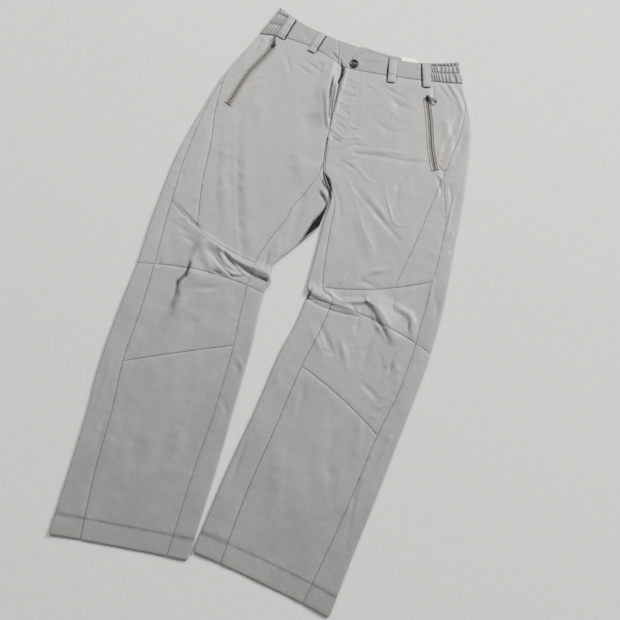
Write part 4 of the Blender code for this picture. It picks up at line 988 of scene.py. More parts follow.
@dataclass
class ClothPiece:
    """One cut piece of cloth, laid over its node's form."""

    node: str
    half: LegHalf
    places: np.ndarray
    rows: np.ndarray
    feel: SeamFeel = SeamFeel()
    first_gap: bool = True
    last_gap: bool = True
    open_top: bool = False
    open_foot: bool = False
    bulge: Bulge | None = None
    shade: Bulge | None = None
    rests_on: tuple[str, ...] = ()
    cut: Cut | None = None

    def declare(self, on_it: Sequence[bpy.types.Object] = ()) -> None:
        """Does nothing: neither the piece's cut nor the small pieces sewn on it are stated here."""

    def seamed_rows(self) -> np.ndarray:
        """Rows of every point, drawn in by half a seam gap where the piece is sewn."""
        rows = self.rows if self.rows.ndim == 2 else np.repeat(
            self.rows[:, None], self.places.shape[1], axis=1)
        rows = rows.copy()
        for line, towards in ((0, 1.0), (-1, -1.0)):
            if not (self.first_gap, self.last_gap)[line]:
                continue
            ahead = rows[line] + towards * STEP_ROWS
            here = self.half.middle(self.places[line], rows[line], plain=True)
            there = self.half.middle(self.places[line], ahead, plain=True)
            speed = np.linalg.norm(there - here, axis=-1) / STEP_ROWS
            rows[line] += towards * SEAM_GAP / 2 / speed
        return rows

    def build(self, finish: bpy.types.Material, seed: int) -> bpy.types.Object:
        """Makes the piece.

        Args:
            finish: the cloth's material.
            seed: number for its own puckers.

        Returns:
            The piece's object.
        """
        rows = self.seamed_rows()
        middle = self.half.middle(self.places, rows)
        hand = self.half.side.value * math.copysign(1.0, self.places[0, -1] - self.places[0, 0])
        grid = measured(middle, hand)
        if self.open_top:
            grid.from_end = grid.along[-1:] - grid.along
        if self.open_foot:
            grid.from_end = grid.along
        offset = CLOTH / 2 + self.feel.offset(grid, seed)
        if self.open_top:
            offset = offset - TOP_EDGE.drop(grid.along)
        if self.open_foot:
            foot = grid.along[-1:] - grid.along
            offset = offset - FOOT_EDGE.drop(foot)
            hem = HEM_RIDGE * np.exp(-(((foot - HEM_TURN - 3) / 4) ** 2))
            offset = offset + HEM_LAYER * ease((HEM_TURN - foot) / 1.5)
            offset = offset + hem * np.sin(grid.over / HEM_WAVE)
        if self.bulge:
            offset = offset + self.bulge(self.places, rows)
        points = middle + grid.outward * offset[..., None]
        points[..., 2] = np.maximum(points[..., 2], FLOOR_CLEARANCE)
        # Painted shade from the creases, on the front face only.
        dark = self.half.darkness(points[..., 0], points[..., 1])
        grid.darkness = np.where(grid.outward[..., 2] > 0, dark, 0.0)
        if self.shade:
            grid.darkness = np.maximum(grid.darkness, self.shade(self.places, rows))
        if self.open_foot:
            line_width = np.maximum(HEM_LINE, 0.8 * np.abs(np.gradient(foot, axis=0)))
            fold_line = HEM_SHADE * np.exp(-(((foot - HEM_TURN) / line_width) ** 2))
            grid.darkness = np.maximum(grid.darkness, fold_line)
        piece = grid_object("cloth_" + self.node, grid, points, hand < 0, finish)
        thicken(piece, SHELL)
        self.cut = cut_size(self.half.middle(self.places, rows, plain=True))
        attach(piece, "trousers")
        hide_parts(self.node)
        LOG.info("%s: cut %.3f x %.3f m, %.4f m2, %d faces", piece.name, self.cut.width,
                 self.cut.length, self.cut.area, len(piece.data.polygons))
        return piece


@dataclass
class Leg:
    """All the cloth pieces of one leg half, waist seam to hem."""

    half: LegHalf
    front_spacing: float = 2.3
    back_spacing: float = 8.0
    back_rows: float = 4.0
    edge_columns: int = 6
    wrap_columns: int = 8

    def front_columns(self, rows: np.ndarray, first: Callable, last: Callable,
                      wraps: bool) -> np.ndarray:
        """Places across a front piece between two seams.

        Args:
            rows: the piece's rows.
            first: outer seam, as a function of the rows.
            last: inner seam, as a function of the rows.
            wraps: whether the piece goes round the outer edge.

        Returns:
            Places as rows by columns.
        """
        a, b = first(rows) + SEAM_GAP / 2, last(rows) - SEAM_GAP / 2
        flat = max(math.ceil(float((b - np.maximum(a, 0)).max()) / self.front_spacing), 2)
        if wraps:
            edge = (0 * a - ARC, 0 * a + ARC)
            return between_seams(a, b, (self.wrap_columns, self.edge_columns, flat), edge)
        return between_seams(a, b, (flat,))

    def back_columns(self, rows: np.ndarray, first: Callable) -> np.ndarray:
        """Places of a back piece: from the outer seam round the back to the inner seam."""
        loop = self.half.half_loop(rows)
        fold = np.maximum(math.pi / 2 * self.half.inner_radius(rows), 0.4)
        a, b = -(first(rows) - SEAM_GAP / 2), -(self.half.inseam_behind(rows) + SEAM_GAP / 2)
        outer = max(math.ceil(float((-a).max()) / self.front_spacing), 2)
        inner = max(math.ceil(float((b - loop).max()) / self.front_spacing), 2)
        back = math.ceil(float(loop.max()) / self.back_spacing)
        edges = (0 * a - ARC, 0 * a + ARC, loop - fold, loop + fold)
        return -between_seams(a, b, (outer, self.edge_columns, back, self.edge_columns, inner),
                              edges)

    def pieces(self) -> list[ClothPiece]:
        """Lists the leg's cut pieces with their places."""
        half, word = self.half, self.half.side.word
        found = []
        rows = row_line(half, WAIST, UPPER_KNEE, self.front_spacing)
        found.append(ClothPiece(
            f"{word}_front_thigh", half,
            self.front_columns(rows, half.diagonal_seam, half.front_end, wraps=True), rows,
            rests_on=(f"cloth_{word}_back_thigh",)))
        rows = row_line(half, SIDE_TIP[half.side], UPPER_KNEE, self.front_spacing)
        found.append(ClothPiece(
            f"{word}_side_thigh", half,
            self.front_columns(rows, half.outer_seam, half.diagonal_seam, wraps=False), rows,
            rests_on=(f"cloth_{word}_back_thigh",)))
        for name, first, last, under in (
            ("upper_knee", UPPER_KNEE, LOWER_KNEE, "back_thigh"),
            ("lower_knee", LOWER_KNEE, SLANT, "back_calf"),
            ("shin", SLANT, HEM, "back_calf"),
        ):
            rows = row_line(half, first, last, self.front_spacing)
            found.append(ClothPiece(
                f"{word}_{name}", half,
                self.front_columns(rows, half.side_seam, half.inseam, wraps=False), rows,
                last_gap=last != HEM, open_foot=last == HEM,
                rests_on=(f"cloth_{word}_{under}",)))
        for name, first, last, seam in (
            ("back_thigh", WAIST, LOWER_KNEE, half.outer_seam),
            ("back_calf", LOWER_KNEE, HEM, half.side_seam),
        ):
            rows = row_line(half, first, last, self.back_rows)
            found.append(ClothPiece(
                f"{word}_{name}", half, self.back_columns(rows, seam), rows,
                last_gap=last != HEM, open_foot=last == HEM, rests_on=("floor",)))
        return found


# How far each elastic side reaches over the front and the back, in mm, and its tunnels.
# CORNER is how far the band's outer corner stands out above its top, in rows.
ELASTIC_FRONT = {Side.RIGHT: 46.0, Side.LEFT: 66.0}
ELASTIC_BACK = {Side.RIGHT: 46.0, Side.LEFT: 50.0}
TUNNELS = 3
CORNER = {Side.RIGHT: 0.075, Side.LEFT: 0.01}


@dataclass
class Waist:
    """The waistband: two elastic sides, two front bands and the back band."""

    right: LegHalf
    left: LegHalf
    tunnels: int = TUNNELS
    gather_pitch: float = 6.6
    gather_rise: float = 2.6
    gather_shade: float = 0.62
    ruffle: float = 1.7
    right_end_top: float = 32.0
    right_end_foot: float = 11.0
    left_dip: tuple[tuple[float, float], ...] = (
        (0, 0.62), (10, 0.5), (22, 0.36), (34, 0.18), (44, 0.04), (60, -0.04), (72, -0.06),
        (82, -0.05), (92, 0.0), (104, 0.08), (120, 0.12), (136, 0.13), (144, 0.08), (150, 0.0))
    back_rise: float = 6.5
    spacing: float = 2.0

    def swell(self, side: Side, places: np.ndarray, rows: np.ndarray) -> np.ndarray:
        """Fullness of the gathers, 0 in a valley and 1 on a crown.

        Args:
            side: the elastic's side.
            places: loop places in mm.
            rows: row numbers.

        Returns:
            One value for each point.
        """
        noise = Grain(31 if side is Side.RIGHT else 32)
        tunnel = np.floor(np.clip(rows, 0, 0.999) * self.tunnels)
        drift = 0.6 * noise.at(places / 11 + 30, rows * 2.4 + 3) + 0.31 * tunnel
        slant = 1.1 * rows * noise.at(places / 40 + 12, rows * 0 + 2)
        wave = 0.5 - 0.5 * np.cos(2 * math.pi * (places / self.gather_pitch + drift + slant))
        return wave ** 0.7 * (0.75 + 0.35 * noise.at(places / 9 + 80, rows * 3 + 60))

    def reach(self, side: Side, places: np.ndarray) -> np.ndarray:
        """How far the gathers are worked, fading towards the front band."""
        return ease((ELASTIC_FRONT[side] - 5 - places) / 6)

    def gathers(self, side: Side) -> Bulge:
        """Uneven gathers of one elastic side, pinched by its tunnel stitching."""

        def bulge(places: np.ndarray, rows: np.ndarray) -> np.ndarray:
            """Outward height of the gathers at loop places and rows."""
            between = np.abs(np.sin(math.pi * rows * self.tunnels))
            pinch = 0.9 * (1 - between) ** 5
            high = self.gather_rise * self.swell(side, places, rows) * between ** 0.7
            inner = np.where(places < -ARC, 0.35, 1.0)
            low = pinch * ease(1 - np.abs(rows - 0.5) * 2.2)
            return (high * inner - low) * self.reach(side, places)

        return bulge

    def valleys(self, side: Side) -> Bulge:
        """Painted shade in the valleys between the gathers and along the tunnel stitching."""

        def shade(places: np.ndarray, rows: np.ndarray) -> np.ndarray:
            """Share of light lost at loop places and rows."""
            painted_shade = np.clip(1 - self.swell(side, places, rows) / 0.62, 0, 1)
            stitched = (1 - np.abs(np.sin(math.pi * rows * self.tunnels))) ** 6
            stitched = 0.6 * stitched * ease(1 - np.abs(rows - 0.5) * 2.2)
            return self.gather_shade * np.maximum(painted_shade, stitched) * self.reach(side, places)

        return shade

    def elastic(self, half: LegHalf) -> ClothPiece:
        """One elastic side, wrapped round the outer edge."""
        front, back = ELASTIC_FRONT[half.side], ELASTIC_BACK[half.side]
        rows = np.linspace(0, WAIST, 37)
        ones = np.ones_like(rows)
        places = lattice((-(back - SEAM_GAP / 2) * ones, -ARC * ones, ARC * ones,
                          (front - SEAM_GAP / 2) * ones), (24, 7, round(front / 1.0)))
        noise = Grain(61)
        out = self.ruffle * noise.at(places / 4.2 + 20, np.full_like(places, 5.0))
        out = out * np.where(places > ARC, ease((front - 8 - places) / 6), 0.3)
        speed = np.linalg.norm(half.middle(places[0], rows[:1] * 0, plain=True)
                               - half.middle(places[0], rows[:1] * 0 + WAIST, plain=True), axis=-1)
        out = out / speed + CORNER[half.side] * np.exp(-((places / 12) ** 2))
        shaped = rows[:, None] - out * (1 - rows[:, None]) ** 6
        return ClothPiece(f"{half.side.word}_elastic", half, places, np.maximum(shaped, -0.1),
                          first_gap=False, open_top=True, bulge=self.gathers(half.side),
                          shade=self.valleys(half.side), rests_on=("floor",))

    def right_front(self) -> ClothPiece:
        """The right front band, whose end curves down to the fly."""
        half = self.right
        rows = row_line(half, 0, WAIST, self.spacing)
        start = (ELASTIC_FRONT[Side.RIGHT] + SEAM_GAP / 2) * np.ones_like(rows)
        curve = np.clip(rows, 0, 1) ** 0.85
        end = half.half_loop(rows) - (
            self.right_end_top + (self.right_end_foot - self.right_end_top) * curve)
        places = between_seams(start, end, (46,))
        return ClothPiece("right_waistband", half, places, rows, first_gap=False, open_top=True,
                          rests_on=("cloth_back_waistband",))

    def left_front(self) -> ClothPiece:
        """The left front band, whose top edge dips to the button end."""
        half = self.left
        rows = row_line(half, 0, WAIST, self.spacing)
        start = (ELASTIC_FRONT[Side.LEFT] + SEAM_GAP / 2) * np.ones_like(rows)
        end = half.half_loop(rows) - SEAM_GAP / 2
        places = between_seams(start, end, (60,))
        away, dip = zip(*self.left_dip)
        first = np.interp(places[0, -1] - places, away, dip)
        shaped = first + rows[:, None] * (WAIST - first)
        return ClothPiece("left_waistband", half, places, shaped, first_gap=False, open_top=True,
                          rests_on=("cloth_back_waistband",))

    def edges(self) -> list[np.ndarray]:
        """Plan lines of the front bands' free edges."""
        left, right = self.left_front(), self.right_front()
        top = self.left.middle(left.places[0], left.rows[0])
        end = self.right.middle(right.places[:, -1], right.rows)
        return [top[:, :2], end[:, :2]]

    def back(self, finish: bpy.types.Material) -> bpy.types.Object:
        """The back band, whose inner face shows between the front bands."""
        rows = row_line(self.right, 0, WAIST, self.spacing)
        ones = np.ones_like(rows)
        runs = []
        for half in (self.right, self.left):
            start = (ELASTIC_BACK[half.side] + SEAM_GAP / 2) * ones
            places = -lattice((start, half.half_loop(rows)), (60,))
            run = half.middle(places, np.minimum(rows, 1 - 0.003)[:, None])
            runs.append(run if half is self.right else run[:, ::-1][:, 1:])
        middle = np.concatenate(runs, axis=1)
        x = middle[..., 0]
        share = ease((x + 24) / 20) * ease((92 - x) / 30)
        middle[..., 1] += self.back_rise * share * (1 - rows[:, None]) ** 2
        grid = measured(middle, -1.0)
        grid.from_end = grid.along[-1:] - grid.along
        offset = CLOTH / 2 + 0.6 * SeamFeel().offset(grid, 77)
        offset = offset - 0.35 * np.exp(-(((grid.along - 34) / 1.2) ** 2))
        offset = offset - 0.35 * np.exp(-(((grid.along - 5) / 1.2) ** 2))
        points = middle + grid.outward * offset[..., None]
        points[..., 2] = np.maximum(points[..., 2], 0.5)
        # Painted shade on the back band: in the fly gap and in a line along the front bands' free edges,
        # where they shadow it.
        grid.darkness = FLY_GAP.darkness(points[..., 0], points[..., 1])
        for line in self.edges():
            gap = np.linalg.norm(points[:, :, None, :2] - line[None, None], axis=-1).min(axis=2)
            grid.darkness = np.maximum(grid.darkness, 0.85 * np.exp(-((gap / 1.9) ** 2)))
        piece = grid_object("cloth_back_waistband", grid, points, True, finish)
        thicken(piece, BACK_SHELL)
        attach(piece, "trousers")
        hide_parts("back_waistband")
        return piece


class ClothTop:
    """The finished upper face of the cloth, found from above."""

    def __init__(self, pieces: Sequence[bpy.types.Object]) -> None:
        """Reads the faces of the cloth pieces.

        Args:
            pieces: cloth objects, before their walls are made.
        """
        whole = bmesh.new()
        for piece in pieces:
            whole.from_mesh(piece.data)
        self.tree = BVHTree.FromBMesh(whole)
        whole.free()

    def spot(self, x: float, y: float) -> tuple[Vector, Vector]:
        """Point and outward direction of the cloth under a plan point, in mm."""
        hit, normal, _, _ = self.tree.ray_cast(Vector((x * MM, y * MM, 0.2)), Vector((0, 0, -1)))
        if hit is None:
            return Vector((x, y, CLOTH)), Vector((0, 0, 1))
        if normal.z < 0:
            normal = -normal
        return hit / MM, normal


def walked(points: Sequence[Plan], pitch: float) -> np.ndarray:
    """Even steps along a smoothed line of plan points.

    Args:
        points: the line's points in mm.
        pitch: wanted step in mm.

    Returns:
        Plan points, one row each.
    """
    spots = np.array(points, float)
    if len(spots) > 2:
        for _ in range(3):
            a, b = spots[:-1] * 0.75 + spots[1:] * 0.25, spots[:-1] * 0.25 + spots[1:] * 0.75
            cut = np.stack([a, b], axis=1).reshape(-1, 2)
            spots = np.concatenate([spots[:1], cut[1:-1], spots[-1:]])
    lengths = np.concatenate([[0], np.cumsum(np.linalg.norm(np.diff(spots, axis=0), axis=1))])
    count = max(round(lengths[-1] / pitch), 1)
    wanted = np.linspace(0, lengths[-1], count + 1)
    return np.stack([np.interp(wanted, lengths, spots[:, k]) for k in range(2)], axis=-1)


def moved_aside(points: np.ndarray, offset: float) -> np.ndarray:
    """Shifts a plan line sideways, to its left."""
    along = np.gradient(points, axis=0)
    along /= np.maximum(np.linalg.norm(along, axis=1, keepdims=True), 1e-9)
    return points + offset * np.stack([-along[:, 1], along[:, 0]], axis=-1)


@dataclass
class Sewing:
    """Rows of small stitches on the cloth."""

    top: ClothTop
    name: str
    length: float = 2.3
    pitch: float = 3.1
    breadth: float = 0.5
    depth: float = 0.34
    shape: bmesh.types.BMesh = field(default_factory=bmesh.new)

    def row(self, points: Sequence[Plan] | np.ndarray, offset: float = 0.0,
            lift: float = 0.02) -> None:
        """Sews one row along a plan line."""
        line = moved_aside(walked(points, self.pitch), offset)
        for a, b in zip(line[:-1], line[1:]):
            x, y = (a + b) / 2
            at, normal = self.top.spot(x, y)
            ahead = Vector((b[0] - a[0], b[1] - a[1], 0))
            if ahead.length < 1e-6:
                continue
            self.place(at + normal * lift, ahead, normal)

    def place(self, at: Vector, ahead: Vector, normal: Vector) -> None:
        """Puts one stitch at a point in mm."""
        ahead = (ahead - normal * ahead.dot(normal)).normalized()
        beside = normal.cross(ahead)
        turn = Matrix((ahead, beside, normal)).transposed().to_4x4()
        size = Matrix.Diagonal((self.length, self.breadth, self.depth, 1.0))
        matrix = Matrix.Scale(MM, 4) @ Matrix.Translation(at) @ turn @ size
        bmesh.ops.create_cube(self.shape, size=1.0, matrix=matrix)

    def finish(self, material: bpy.types.Material) -> bpy.types.Object:
        """Makes the stitches one object that rides with the trousers."""
        piece = from_shape(self.name, self.shape, material)
        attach(piece, "trousers")
        LOG.info("%s: %d faces", self.name, len(piece.data.polygons))
        return piece


@dataclass
class Strip:
    """A strip of cloth or tape laid on the cloth along a plan line, in mm."""

    name: str
    line: tuple[Plan, ...]
    width: float
    rise: float
    wall: float
    columns: int = 8
    pitch: float = 2.0
    crown: float = 0.0
    arch: float = 0.0
    edge_drop: float = 0.25
    offset: float = 0.0
    tilt: float = 0.0
    grooves: tuple[float, ...] = ()
    groove_depth: float = 0.35
    groove_width: float = 0.6
    groove_shade: float = 0.55
    follow: float = 0.35

    def build(self, top: ClothTop, finish: bpy.types.Material) -> tuple[bpy.types.Object, Cut]:
        """Makes the strip's object and gives its flat size.

        Args:
            top: the cloth it lies on.
            finish: its material.

        Returns:
            The object and its cut.
        """
        middle = moved_aside(walked(self.line, self.pitch), self.offset)
        across = np.linspace(-1, 1, self.columns + 1)
        share = np.linspace(0, 1, len(middle))
        lines = np.stack([moved_aside(middle, -t * self.width / 2) for t in across], axis=1)
        points = np.zeros((*lines.shape[:2], 3))
        for i in range(lines.shape[0]):
            level = np.array([top.spot(*spot)[0].z for spot in lines[i]])
            level = self.follow * level + (1 - self.follow) * level.mean()
            bow = self.arch * math.sin(math.pi * share[i]) ** 0.8
            edges = self.crown * (1 - across**2) - self.edge_drop * across**8
            points[i, :, :2] = lines[i]
            points[i, :, 2] = level + self.rise + bow + edges + self.tilt * across
        kernel = np.array([0.25, 0.5, 0.25])
        for _ in range(2):
            padded = np.pad(points[..., 2], ((1, 1), (0, 0)), mode="edge")
            points[..., 2] = sum(k * padded[i:i + len(points)] for i, k in enumerate(kernel))
        sunk = [np.exp(-(((across * self.width / 2 - groove) / self.groove_width) ** 2))
                for groove in self.grooves]
        for line in sunk:
            points[..., 2] -= self.groove_depth * line
        grid = measured(points, 1.0)
        for line in sunk:
            grid.darkness = np.maximum(grid.darkness, self.groove_shade * line)
        flip = float(grid.outward[..., 2].mean()) < 0
        if flip:
            grid.outward = -grid.outward
        piece = grid_object(self.name, grid, points, flip, finish)
        thicken(piece, self.wall)
        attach(piece, "trousers")
        return piece, cut_size(points)


BELT_LOOPS = {
    "belt_loop_1": ((-164, 524), (-173, 474)),
    "belt_loop_2": ((-97, 511), (-106, 464)),
    "belt_loop_3": ((54, 502), (64, 451)),
    "belt_loop_4": ((118, 512), (134, 463)),
}
ZIP_LINES = {
    Side.RIGHT: ((-180, 454), (-188, 432), (-197, 410), (-207, 388), (-213, 366), (-217, 344),
                 (-221, 324), (-225, 306)),
    Side.LEFT: ((141, 442), (149, 423), (156, 405), (163, 387), (169, 369), (176, 347),
                (186, 324), (197, 302)),
}
# Each pull tab's hinge (x, y and z in mm, heading in degrees) and its length.
PULL_HINGES = {Side.RIGHT: (-180.0, 454.0, 9.064, 102.0), Side.LEFT: (141.0, 442.0, 8.532, -15.0)}
PULL_LENGTHS = {Side.RIGHT: 17.5, Side.LEFT: 20.5}
# The fly's stitched lines: its two curves, its edge and the bar tack at its foot.
FLY_CURVES = (
    ((-1, 456), (13, 409), (27, 362), (28, 330), (24, 300), (12, 287), (2, 284), (-13, 279)),
    ((-15, 443), (-6, 408), (6, 362), (11, 333), (8, 308), (-2, 300), (-14, 297)),
)
FLY_EDGE = ((-31, 446), (-29, 408), (-25, 360), (-18, 308), (-9, 250))
FLY_BAR = ((-12, 283), (-10, 272))


@dataclass
class ZipOpening:
    """A zipped pocket opening: its tape, its two folded lips and its teeth."""

    side: Side
    top: ClothTop
    tape_width: float = 9.6
    lip_width: float = 3.0
    lip_offset: float = 6.4
    tooth_pitch: float = 1.5

    def build(self, cloth: bpy.types.Material, tape: bpy.types.Material,
              metal: bpy.types.Material) -> list[bpy.types.Object]:
        """Makes the opening's pieces and lists them."""
        word, line = self.side.word, ZIP_LINES[self.side]
        piece, _ = Strip(f"tape_{word}_zip", line, self.tape_width, 0.95, 0.4,
                         columns=22, crown=-0.1, grooves=(-4.3, 4.3), groove_depth=0.2
                         ).build(self.top, tape)
        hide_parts(f"{word}_zip_tape")
        made = [piece]
        for number, offset in enumerate((-self.lip_offset, self.lip_offset)):
            lip, _ = Strip(f"zip_lip_{word}_{number}", line, self.lip_width, 0.75, 0.4,
                           columns=6, crown=0.3, edge_drop=0.5, offset=offset
                           ).build(self.top, cloth)
            made.append(lip)
        teeth = Sewing(self.top, f"zip_teeth_{word}", length=0.85, pitch=self.tooth_pitch,
                       breadth=1.0, depth=0.7)
        teeth.row(line, offset=-0.45, lift=1.1)
        teeth.row(line, offset=0.45, lift=1.1)
        piece = teeth.finish(metal)
        LOG.info("zip %s built", word)
        return [*made, piece]


@dataclass
class PullTab:
    """A zip's flat pull tab: its eye round the slider's bar and a slotted grip, in mm."""

    side: Side
    length: float
    width: float = 6.0
    eye_width: float = 2.8
    slot_width: float = 1.5
    bar: float = 0.6
    eye_end: float = 4.6
    slot_start: float = 7.2
    end_wall: float = 4.2
    end_share: float = 0.74
    thickness: float = 1.1
    corner: float = 0.28

    def build(self, metal: bpy.types.Material) -> bpy.types.Object:
        """Makes the tab on its hinge.

        Args:
            metal: the tab's material.

        Returns:
            The tab, which turns with its own body.
        """
        x, y, z, heading = PULL_HINGES[self.side]
        across = (-self.width / 2, -self.eye_width / 2, self.eye_width / 2, self.width / 2)
        along = (-self.bar, self.bar, self.eye_end, self.slot_start, self.length - self.end_wall,
                 self.length)
        shape = bmesh.new()
        bmesh.ops.create_grid(shape, x_segments=len(across) - 1, y_segments=len(along) - 1, size=1.0)
        for vert in shape.verts:
            column = round((vert.co.x + 1) / 2 * (len(across) - 1))
            row = round((vert.co.y + 1) / 2 * (len(along) - 1))
            narrow = self.end_share if row == len(along) - 1 else 1.0
            if row >= 3 and abs(across[column]) < self.width / 2:
                narrow = self.slot_width / self.eye_width
            vert.co = (across[column] * narrow, along[row], -self.thickness / 2)
        open_places = ((self.bar + self.eye_end) / 2,
                       (self.slot_start + self.length - self.end_wall) / 2)
        holes = [face for face in shape.faces
                 if abs(face.calc_center_median().x) < 0.1
                 and any(abs(face.calc_center_median().y - place) < 0.1 for place in open_places)]
        bmesh.ops.delete(shape, geom=holes, context="FACES")
        raised = bmesh.ops.extrude_face_region(shape, geom=shape.faces, use_keep_orig=True)["geom"]
        moved = [part for part in raised if isinstance(part, bmesh.types.BMVert)]
        bmesh.ops.translate(shape, vec=(0.0, 0.0, self.thickness), verts=moved)
        bmesh.ops.recalc_face_normals(shape, faces=shape.faces)
        sharp = [edge for edge in shape.edges if edge.calc_face_angle(0.0) > 0.3]
        bmesh.ops.bevel(shape, geom=sharp, offset=self.corner, segments=2, profile=0.5,
                        affect="EDGES", material=-1)
        turn = Matrix.Rotation(math.radians(heading - 90.0), 4, "Z")
        seat = Matrix.Translation((x * MM, y * MM, z * MM)) @ turn @ Matrix.Scale(MM, 4)
        bmesh.ops.transform(shape, matrix=seat, verts=shape.verts)
        piece = from_shape(f"pull_{self.side.word}", shape, metal)
        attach(piece, f"{self.side.word}_pull")
        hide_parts(f"{self.side.word}_pull_tab")
        LOG.info("%s: %d faces", piece.name, len(piece.data.polygons))
        return piece


@dataclass
class Button:
    """The waist button: a rim turned round a dished middle, in mm."""

    at: Plan = (-17.0, 467.0)
    profile: tuple[tuple[float, float], ...] = (
        (0.0, 0.15), (7.9, 0.15), (8.5, 0.5), (8.7, 1.2), (8.5, 2.0), (7.9, 2.6), (7.1, 2.8),
        (6.3, 2.6), (5.7, 2.0), (5.3, 1.5), (4.4, 1.35), (3.4, 1.5), (2.6, 1.9), (1.4, 2.1),
        (0.0, 2.15))
    segments: int = 56

    def build(self, top: ClothTop, metal: bpy.types.Material) -> bpy.types.Object:
        """Spins the profile and seats it on the band."""
        shape = bmesh.new()
        chain = [shape.verts.new((r * MM, 0.0, z * MM)) for r, z in self.profile]
        edges = [shape.edges.new(pair) for pair in zip(chain, chain[1:])]
        bmesh.ops.spin(shape, geom=chain + edges, cent=(0, 0, 0), axis=(0, 0, 1),
                       angle=2 * math.pi, steps=self.segments, use_merge=True,
                       use_duplicate=False)
        bmesh.ops.remove_doubles(shape, verts=shape.verts, dist=1e-6)
        bmesh.ops.recalc_face_normals(shape, faces=shape.faces)
        at, _ = top.spot(*self.at)
        bmesh.ops.translate(shape, vec=(self.at[0] * MM, self.at[1] * MM, (at.z - 0.05) * MM),
                            verts=shape.verts)
        piece = from_shape("waist_button", shape, metal)
        faces = piece.data.polygons
        faces.foreach_set("use_smooth", np.ones(len(faces), bool))
        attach(piece, "trousers")
        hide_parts("button")
        LOG.info("waist_button: %d faces", len(faces))
        return piece


@dataclass
class Trimmings:
    """Belt loops, blank label and all the sewing.

    The sizes in mm that end in stitches are the stitched lines' distances from their seams,
    edges or middles. loop_fold is where a belt loop's folded edges lie under it.
    """

    halves: dict[Side, LegHalf]
    top: ClothTop
    label_corners: tuple[Plan, ...] = ((70, 490), (103, 493), (101, 515.5), (69, 512.5))
    label_wall: float = 0.5
    loop_width: float = 15.5
    loop_stitches: float = 4.0
    loop_fold: float = 6.9
    bar_half: float = 5.0
    seam_stitches: float = 1.8
    top_stitches: float = 2.2
    tunnel_stitches: float = 0.8
    fly_stitches: float = 2.0
    tack_stitches: float = 0.6
    tape_stitches: float = 9.0
    hem_stitches: float = 33.0

    def belt_loops(self, cloth: bpy.types.Material, thread: bpy.types.Material) -> None:
        """Lays the four belt loops and sews them."""
        sewing = Sewing(self.top, "loop_stitches", length=2.0, pitch=2.7, breadth=0.45)
        stitched = (-self.loop_stitches, self.loop_stitches)
        for number, (node, (head, foot)) in enumerate(BELT_LOOPS.items()):
            piece, cut = Strip(f"strap_{node}", (head, foot), self.loop_width, 1.75, 0.8,
                               columns=31, pitch=1.5, crown=0.25, arch=1.3, edge_drop=0.5,
                               grooves=(-self.loop_fold, *stitched, self.loop_fold)
                               ).build(self.top, cloth)
            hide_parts(node)
            local = replace(sewing, top=ClothTop([piece]))
            inset = [(head[0] + (foot[0] - head[0]) * t, head[1] + (foot[1] - head[1]) * t)
                     for t in (0.03, 0.97)]
            for offset in stitched:
                local.row(inset, offset=offset, lift=0.03)
            for share in (0.93, 0.965):
                middle = np.array(head) + (np.array(foot) - np.array(head)) * share
                along = (np.array(foot) - np.array(head)) / math.dist(head, foot)
                side = np.array([-along[1], along[0]]) * self.bar_half
                local.row([tuple(middle - side), tuple(middle + side)], lift=0.05)
        sewing.finish(thread)

    def label(self, finish: bpy.types.Material) -> None:
        """The blank label that stands out of the waistband."""
        a, b, c, d = (np.array(p, float) for p in self.label_corners)
        s, t = np.meshgrid(np.linspace(0, 1, 25), np.linspace(0, 1, 17))
        low = a + (b - a) * s[..., None]
        high = d + (c - d) * s[..., None]
        plan = low + (high - low) * t[..., None]
        rise = 2.15 + 0.5 * t * np.sin(math.pi * s) + 0.35 * t * t
        points = np.concatenate([plan, rise[..., None]], axis=-1)
        grid = measured(points, 1.0)
        piece = grid_object("blank_label", grid, points, False, finish)
        thicken(piece, self.label_wall)
        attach(piece, "trousers")
        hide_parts("label")

    def seam_line(self, half: LegHalf, seam: Callable, first: float, last: float,
                  shift: float) -> list[Plan]:
        """Plan line beside a seam that runs down the leg.

        Args:
            half: the leg half.
            seam: the seam's loop places, as a function of the rows.
            first: row where the line starts.
            last: row where it ends.
            shift: distance beside the seam, in mm.

        Returns:
            The line's plan points.
        """
        rows = np.linspace(first, last, 60)
        points = half.middle(seam(rows) + shift, rows)
        return [tuple(p[:2]) for p in points]

    def cross_line(self, half: LegHalf, row: float, first: float, last: float,
                   shift: float) -> list[Plan]:
        """Plan line beside a seam that runs across.

        Args:
            half: the leg half.
            row: the seam's row.
            first: loop place where the line starts.
            last: loop place where it ends.
            shift: distance below the seam, in mm.

        Returns:
            The line's plan points.
        """
        places = np.linspace(first, last, 40)
        here = half.middle(places, np.full(40, row), plain=True)
        step = 0.01 if row < HEM else -0.01
        along = half.middle(places, np.full(40, row + step), plain=True) - here
        along *= math.copysign(1.0, step) / np.linalg.norm(along, axis=-1, keepdims=True)
        return [tuple(p[:2]) for p in here + along * shift]

    def sew_leg(self, side: Side, thread: bpy.types.Material) -> None:
        """Sews the long and cross seams of one leg."""
        half = self.halves[side]
        sewing = Sewing(self.top, f"{side.word}_leg_stitches")
        sewing.row(self.seam_line(half, half.diagonal_seam, SIDE_TIP[side] + 0.1, UPPER_KNEE, 1.7))
        sewing.row(self.seam_line(half, half.side_seam, ZIP_END + 0.6, HEM - 0.02, 1.7))
        sewing.row(self.seam_line(half, half.inseam, CROTCH + 0.5, HEM - 0.02, -1.7))
        for row in (UPPER_KNEE, LOWER_KNEE, SLANT):
            at = np.array([float(row)])
            first = float(half.side_seam(at)[0]) + 3
            last = float(half.inseam(at)[0]) - 3
            sewing.row(self.cross_line(half, row, first, last, -self.seam_stitches))
        at = np.array([float(HEM)])
        reach = float(half.half_loop(at)[0])
        sewing.row(self.cross_line(half, HEM, 3.0, reach - 3, -self.hem_stitches))
        sewing.finish(thread)

